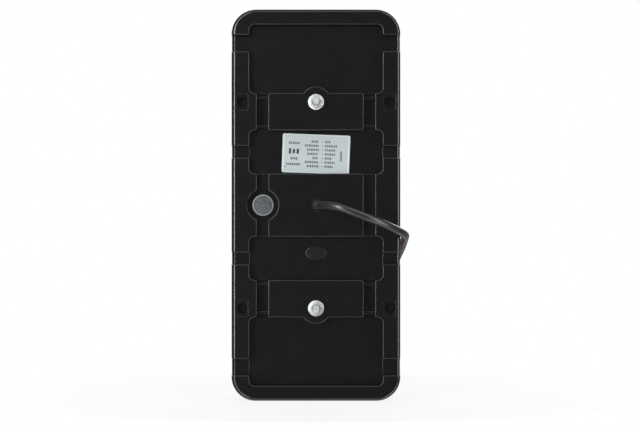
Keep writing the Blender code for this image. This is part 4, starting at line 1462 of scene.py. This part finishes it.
# Soft insulation in the usual trailer colours, evenly dyed.
for colour, shades in core_colours.items():
    cover(finish(f"pvc_core_{colour}", shades, (0.34, 0.42), 4.0, 0.6, 0.2), wires[colour])
print("plastics on", len(seals), "seals,", len(packages), "packages and", len(core_colours), "cores")

# %% [markdown]
# ## Metals
#
# The studs, nuts, flanges and board screws are steel with a bright zinc plating. The tray is plastic
# with a vapour of aluminium on it. The stripped core ends are tinned copper.

# %% Metals
# A light grey that is a little cloudy.
zinc = finish("bright_zinc_plated_steel", ("#a7aaa9", "#bdc0bf"), (0.48, 0.6), 2.0, 0.6, 0.1, Metallic=1.0)
cover(zinc, *studs.values(), *[piece for pair in fixings.values() for piece in pair])
cover(zinc, *[nodes[f"board_screw_{number}"] for number in range(1, 5)])
# Close to a mirror.
film = finish("vapour_metallised_plastic", ("#d9dbde", "#e9ebee"), (0.08, 0.14), 9.0, 3.0, 0.06, Metallic=1.0)
cover(film, tray)
# A warm grey that is rough from the lay of the strands.
tinned = finish("tinned_copper_strands", ("#b9b7b0", "#d2d0c9"), (0.3, 0.4), 0.6, 0.2, 0.3, Metallic=1.0)
cover(tinned, *strands)
# A satin grey with draw marks.
can = finish("drawn_aluminium_can", ("#b8babd", "#cdd0d3"), (0.25, 0.35), 2.2, 0.75, 0.1, Metallic=1.0)
cover(can, nodes["surge_capacitor"])
print("metals on", len(studs), "studs,", len(fixings), "nuts and flanges, and", len(strands), "core ends")

# %% [markdown]
# ## Breather and label
#
# The breather's cap is a grey plastic. Its disc is sintered and mottled, with painted shade in the gaps and a
# painted highlight on the domes.
# The label is cool white vinyl, paler in a narrow border where the print's ground stops.

# %% Breather and label
mottle = 0.9
# From the foot of the domes to their tops the disc's colour rises: painted shade in the gaps, a painted
# highlight on the tops.
dome_foot = at(0, 5.86, 0).y
dome_top = at(0, 5.6, 0).y
painted_dome_shading = (-0.08, 0.2)
border = 0.955
border_from = (border - 0.03, border + 0.01)
border_shade = (0.35, 0.75)


def mottle_and_painted_dome_shade(tree, place):
    """A value that rises from the disc's flat face to the tops of its domes, with some noise: painted shade
    in the gaps, painted highlight on the domes.
    """
    noise = add_node(
        tree, "ShaderNodeTexNoise", {"Scale": 1 / (mottle * mm), "Detail": grain_detail}, {"Vector": place},
    )
    depth = add_node(tree, "ShaderNodeSeparateXYZ", links={"Vector": place}).outputs["Y"]
    rise = add_node(
        tree, "ShaderNodeMapRange",
        {"From Min": dome_foot, "From Max": dome_top, "To Min": painted_dome_shading[0], "To Max": painted_dome_shading[1]},
        {"Value": depth},
    )
    return add_node(
        tree, "ShaderNodeMath", {"operation": "ADD"},
        {"Value": noise.outputs["Fac"], "Value_001": rise.outputs[0]},
    ).outputs[0]


def ground_and_border(tree, place):
    """A value that is low on the label's ground and high in a narrow border round it."""
    size = (label_half[0] * mm, 1.0, label_half[1] * mm)
    square = add_node(
        tree, "ShaderNodeMapping",
        {"vector_type": "TEXTURE", "Location": at(0, label_front, label_z), "Rotation": (0, label_turn, 0),
         "Scale": size},
        {"Vector": place},
    )
    reach = add_node(tree, "ShaderNodeVectorMath", {"operation": "ABSOLUTE"}, {"Vector": square.outputs[0]})
    sides = add_node(tree, "ShaderNodeSeparateXYZ", links={"Vector": reach.outputs[0]}).outputs
    edge = add_node(
        tree, "ShaderNodeMath", {"operation": "MAXIMUM"}, {"Value": sides["X"], "Value_001": sides["Z"]},
    )
    return add_node(
        tree, "ShaderNodeMapRange",
        {"From Min": border_from[0], "From Max": border_from[1],
         "To Min": border_shade[0], "To Max": border_shade[1]},
        {"Value": edge.outputs[0]},
    ).outputs[0]


# A mid grey with a dull sheen on its bevel.
cover(finish("grey_polyamide", ("#909498", "#9ea2a6"), (0.46, 0.54), 3.0, 0.5, 0.3), cap)
# Mottled, with no sheen at all, and with painted shade in the gaps and a painted highlight on the domes.
sinter = finish("sintered_grey_membrane", ("#3a4042", "#646b6d"), (0.7, 0.8), 1.2, 0.5, 0.5, mottle_and_painted_dome_shade)
cover(sinter, disc)
# A bluish white with a soft sheen.
vinyl = finish("cool_white_vinyl", ("#b4bfc1", "#ced7d8"), (0.42, 0.48), 4.0, 2.5, 0.2, ground_and_border)
cover(vinyl, sheet)
# A dark grey rather than black, without gloss.
cover(finish("thermal_print_ink", ("#2c2f35", "#43474e"), (0.56, 0.64), 2.0, 0.4, 0.2), label_print)
print("finishes on the breather and the label")

# %% [markdown]
# ## Coloured acrylic
#
# The four fields are acrylic, clear or coloured all through, polished by the mould. A colour in the
# transmission tints the light once on the way in and once on the way out. Slow waves from the
# filling of the mould keep the reflections from being perfect.

# %% Coloured acrylic
acrylic_shades = {
    "amber": ("#ff9210", "#ffa01e"), "red": ("#e0161c", "#ea2026"), "clear": ("#f1f4f5", "#fafcfc"),
}
# Deep and wet to the eye, with sharp reflections.
acrylics = {
    word: finish(f"{word}_acrylic", shades, (0.02, 0.05), 24.0, 16.0, 0.15, Transmission_Weight=1.0, IOR=1.49)
    for word, shades in acrylic_shades.items()
}
cover(acrylics["amber"], lenses["indicator"])
cover(acrylics["red"], lenses["stop_tail"], lenses["fog"], reflex)
cover(acrylics["clear"], lenses["reverse"])
print(len(acrylics), "acrylics")

# %% [markdown]
# ## Circuit board and LEDs
#
# The board is woven glass in epoxy under a white solder mask, as on most lighting boards: the weave
# prints through as a fine grid. The LED packages are white with a yellow phosphor on top.

# %% Circuit board and LEDs
weave = 2.4
weave_waver = 0.4


def glass_weave(tree, place):
    """Fine slanting bands that are not quite straight."""
    return add_node(
        tree, "ShaderNodeTexWave",
        {"Scale": 1 / (weave * mm), "Distortion": weave_waver, "bands_direction": "DIAGONAL"},
        {"Vector": place},
    ).outputs["Fac"]


# A warm white with a lacquer's sheen.
mask = finish("white_solder_mask", ("#d9dbd8", "#e6e8e5"), (0.36, 0.44), 6.0, 1.0, 0.1, glass_weave)
cover(mask, nodes["led_board"])
# Powdery yellow.
phosphor = finish("yellow_phosphor_on_white", ("#e0c24a", "#efd878"), (0.46, 0.54), 0.7, 0.3, 0.3)
leds = [node for name, node in nodes.items() if name.startswith("led_") and name != "led_board"]
cover(phosphor, *leds)
print(len(leds), "LEDs")
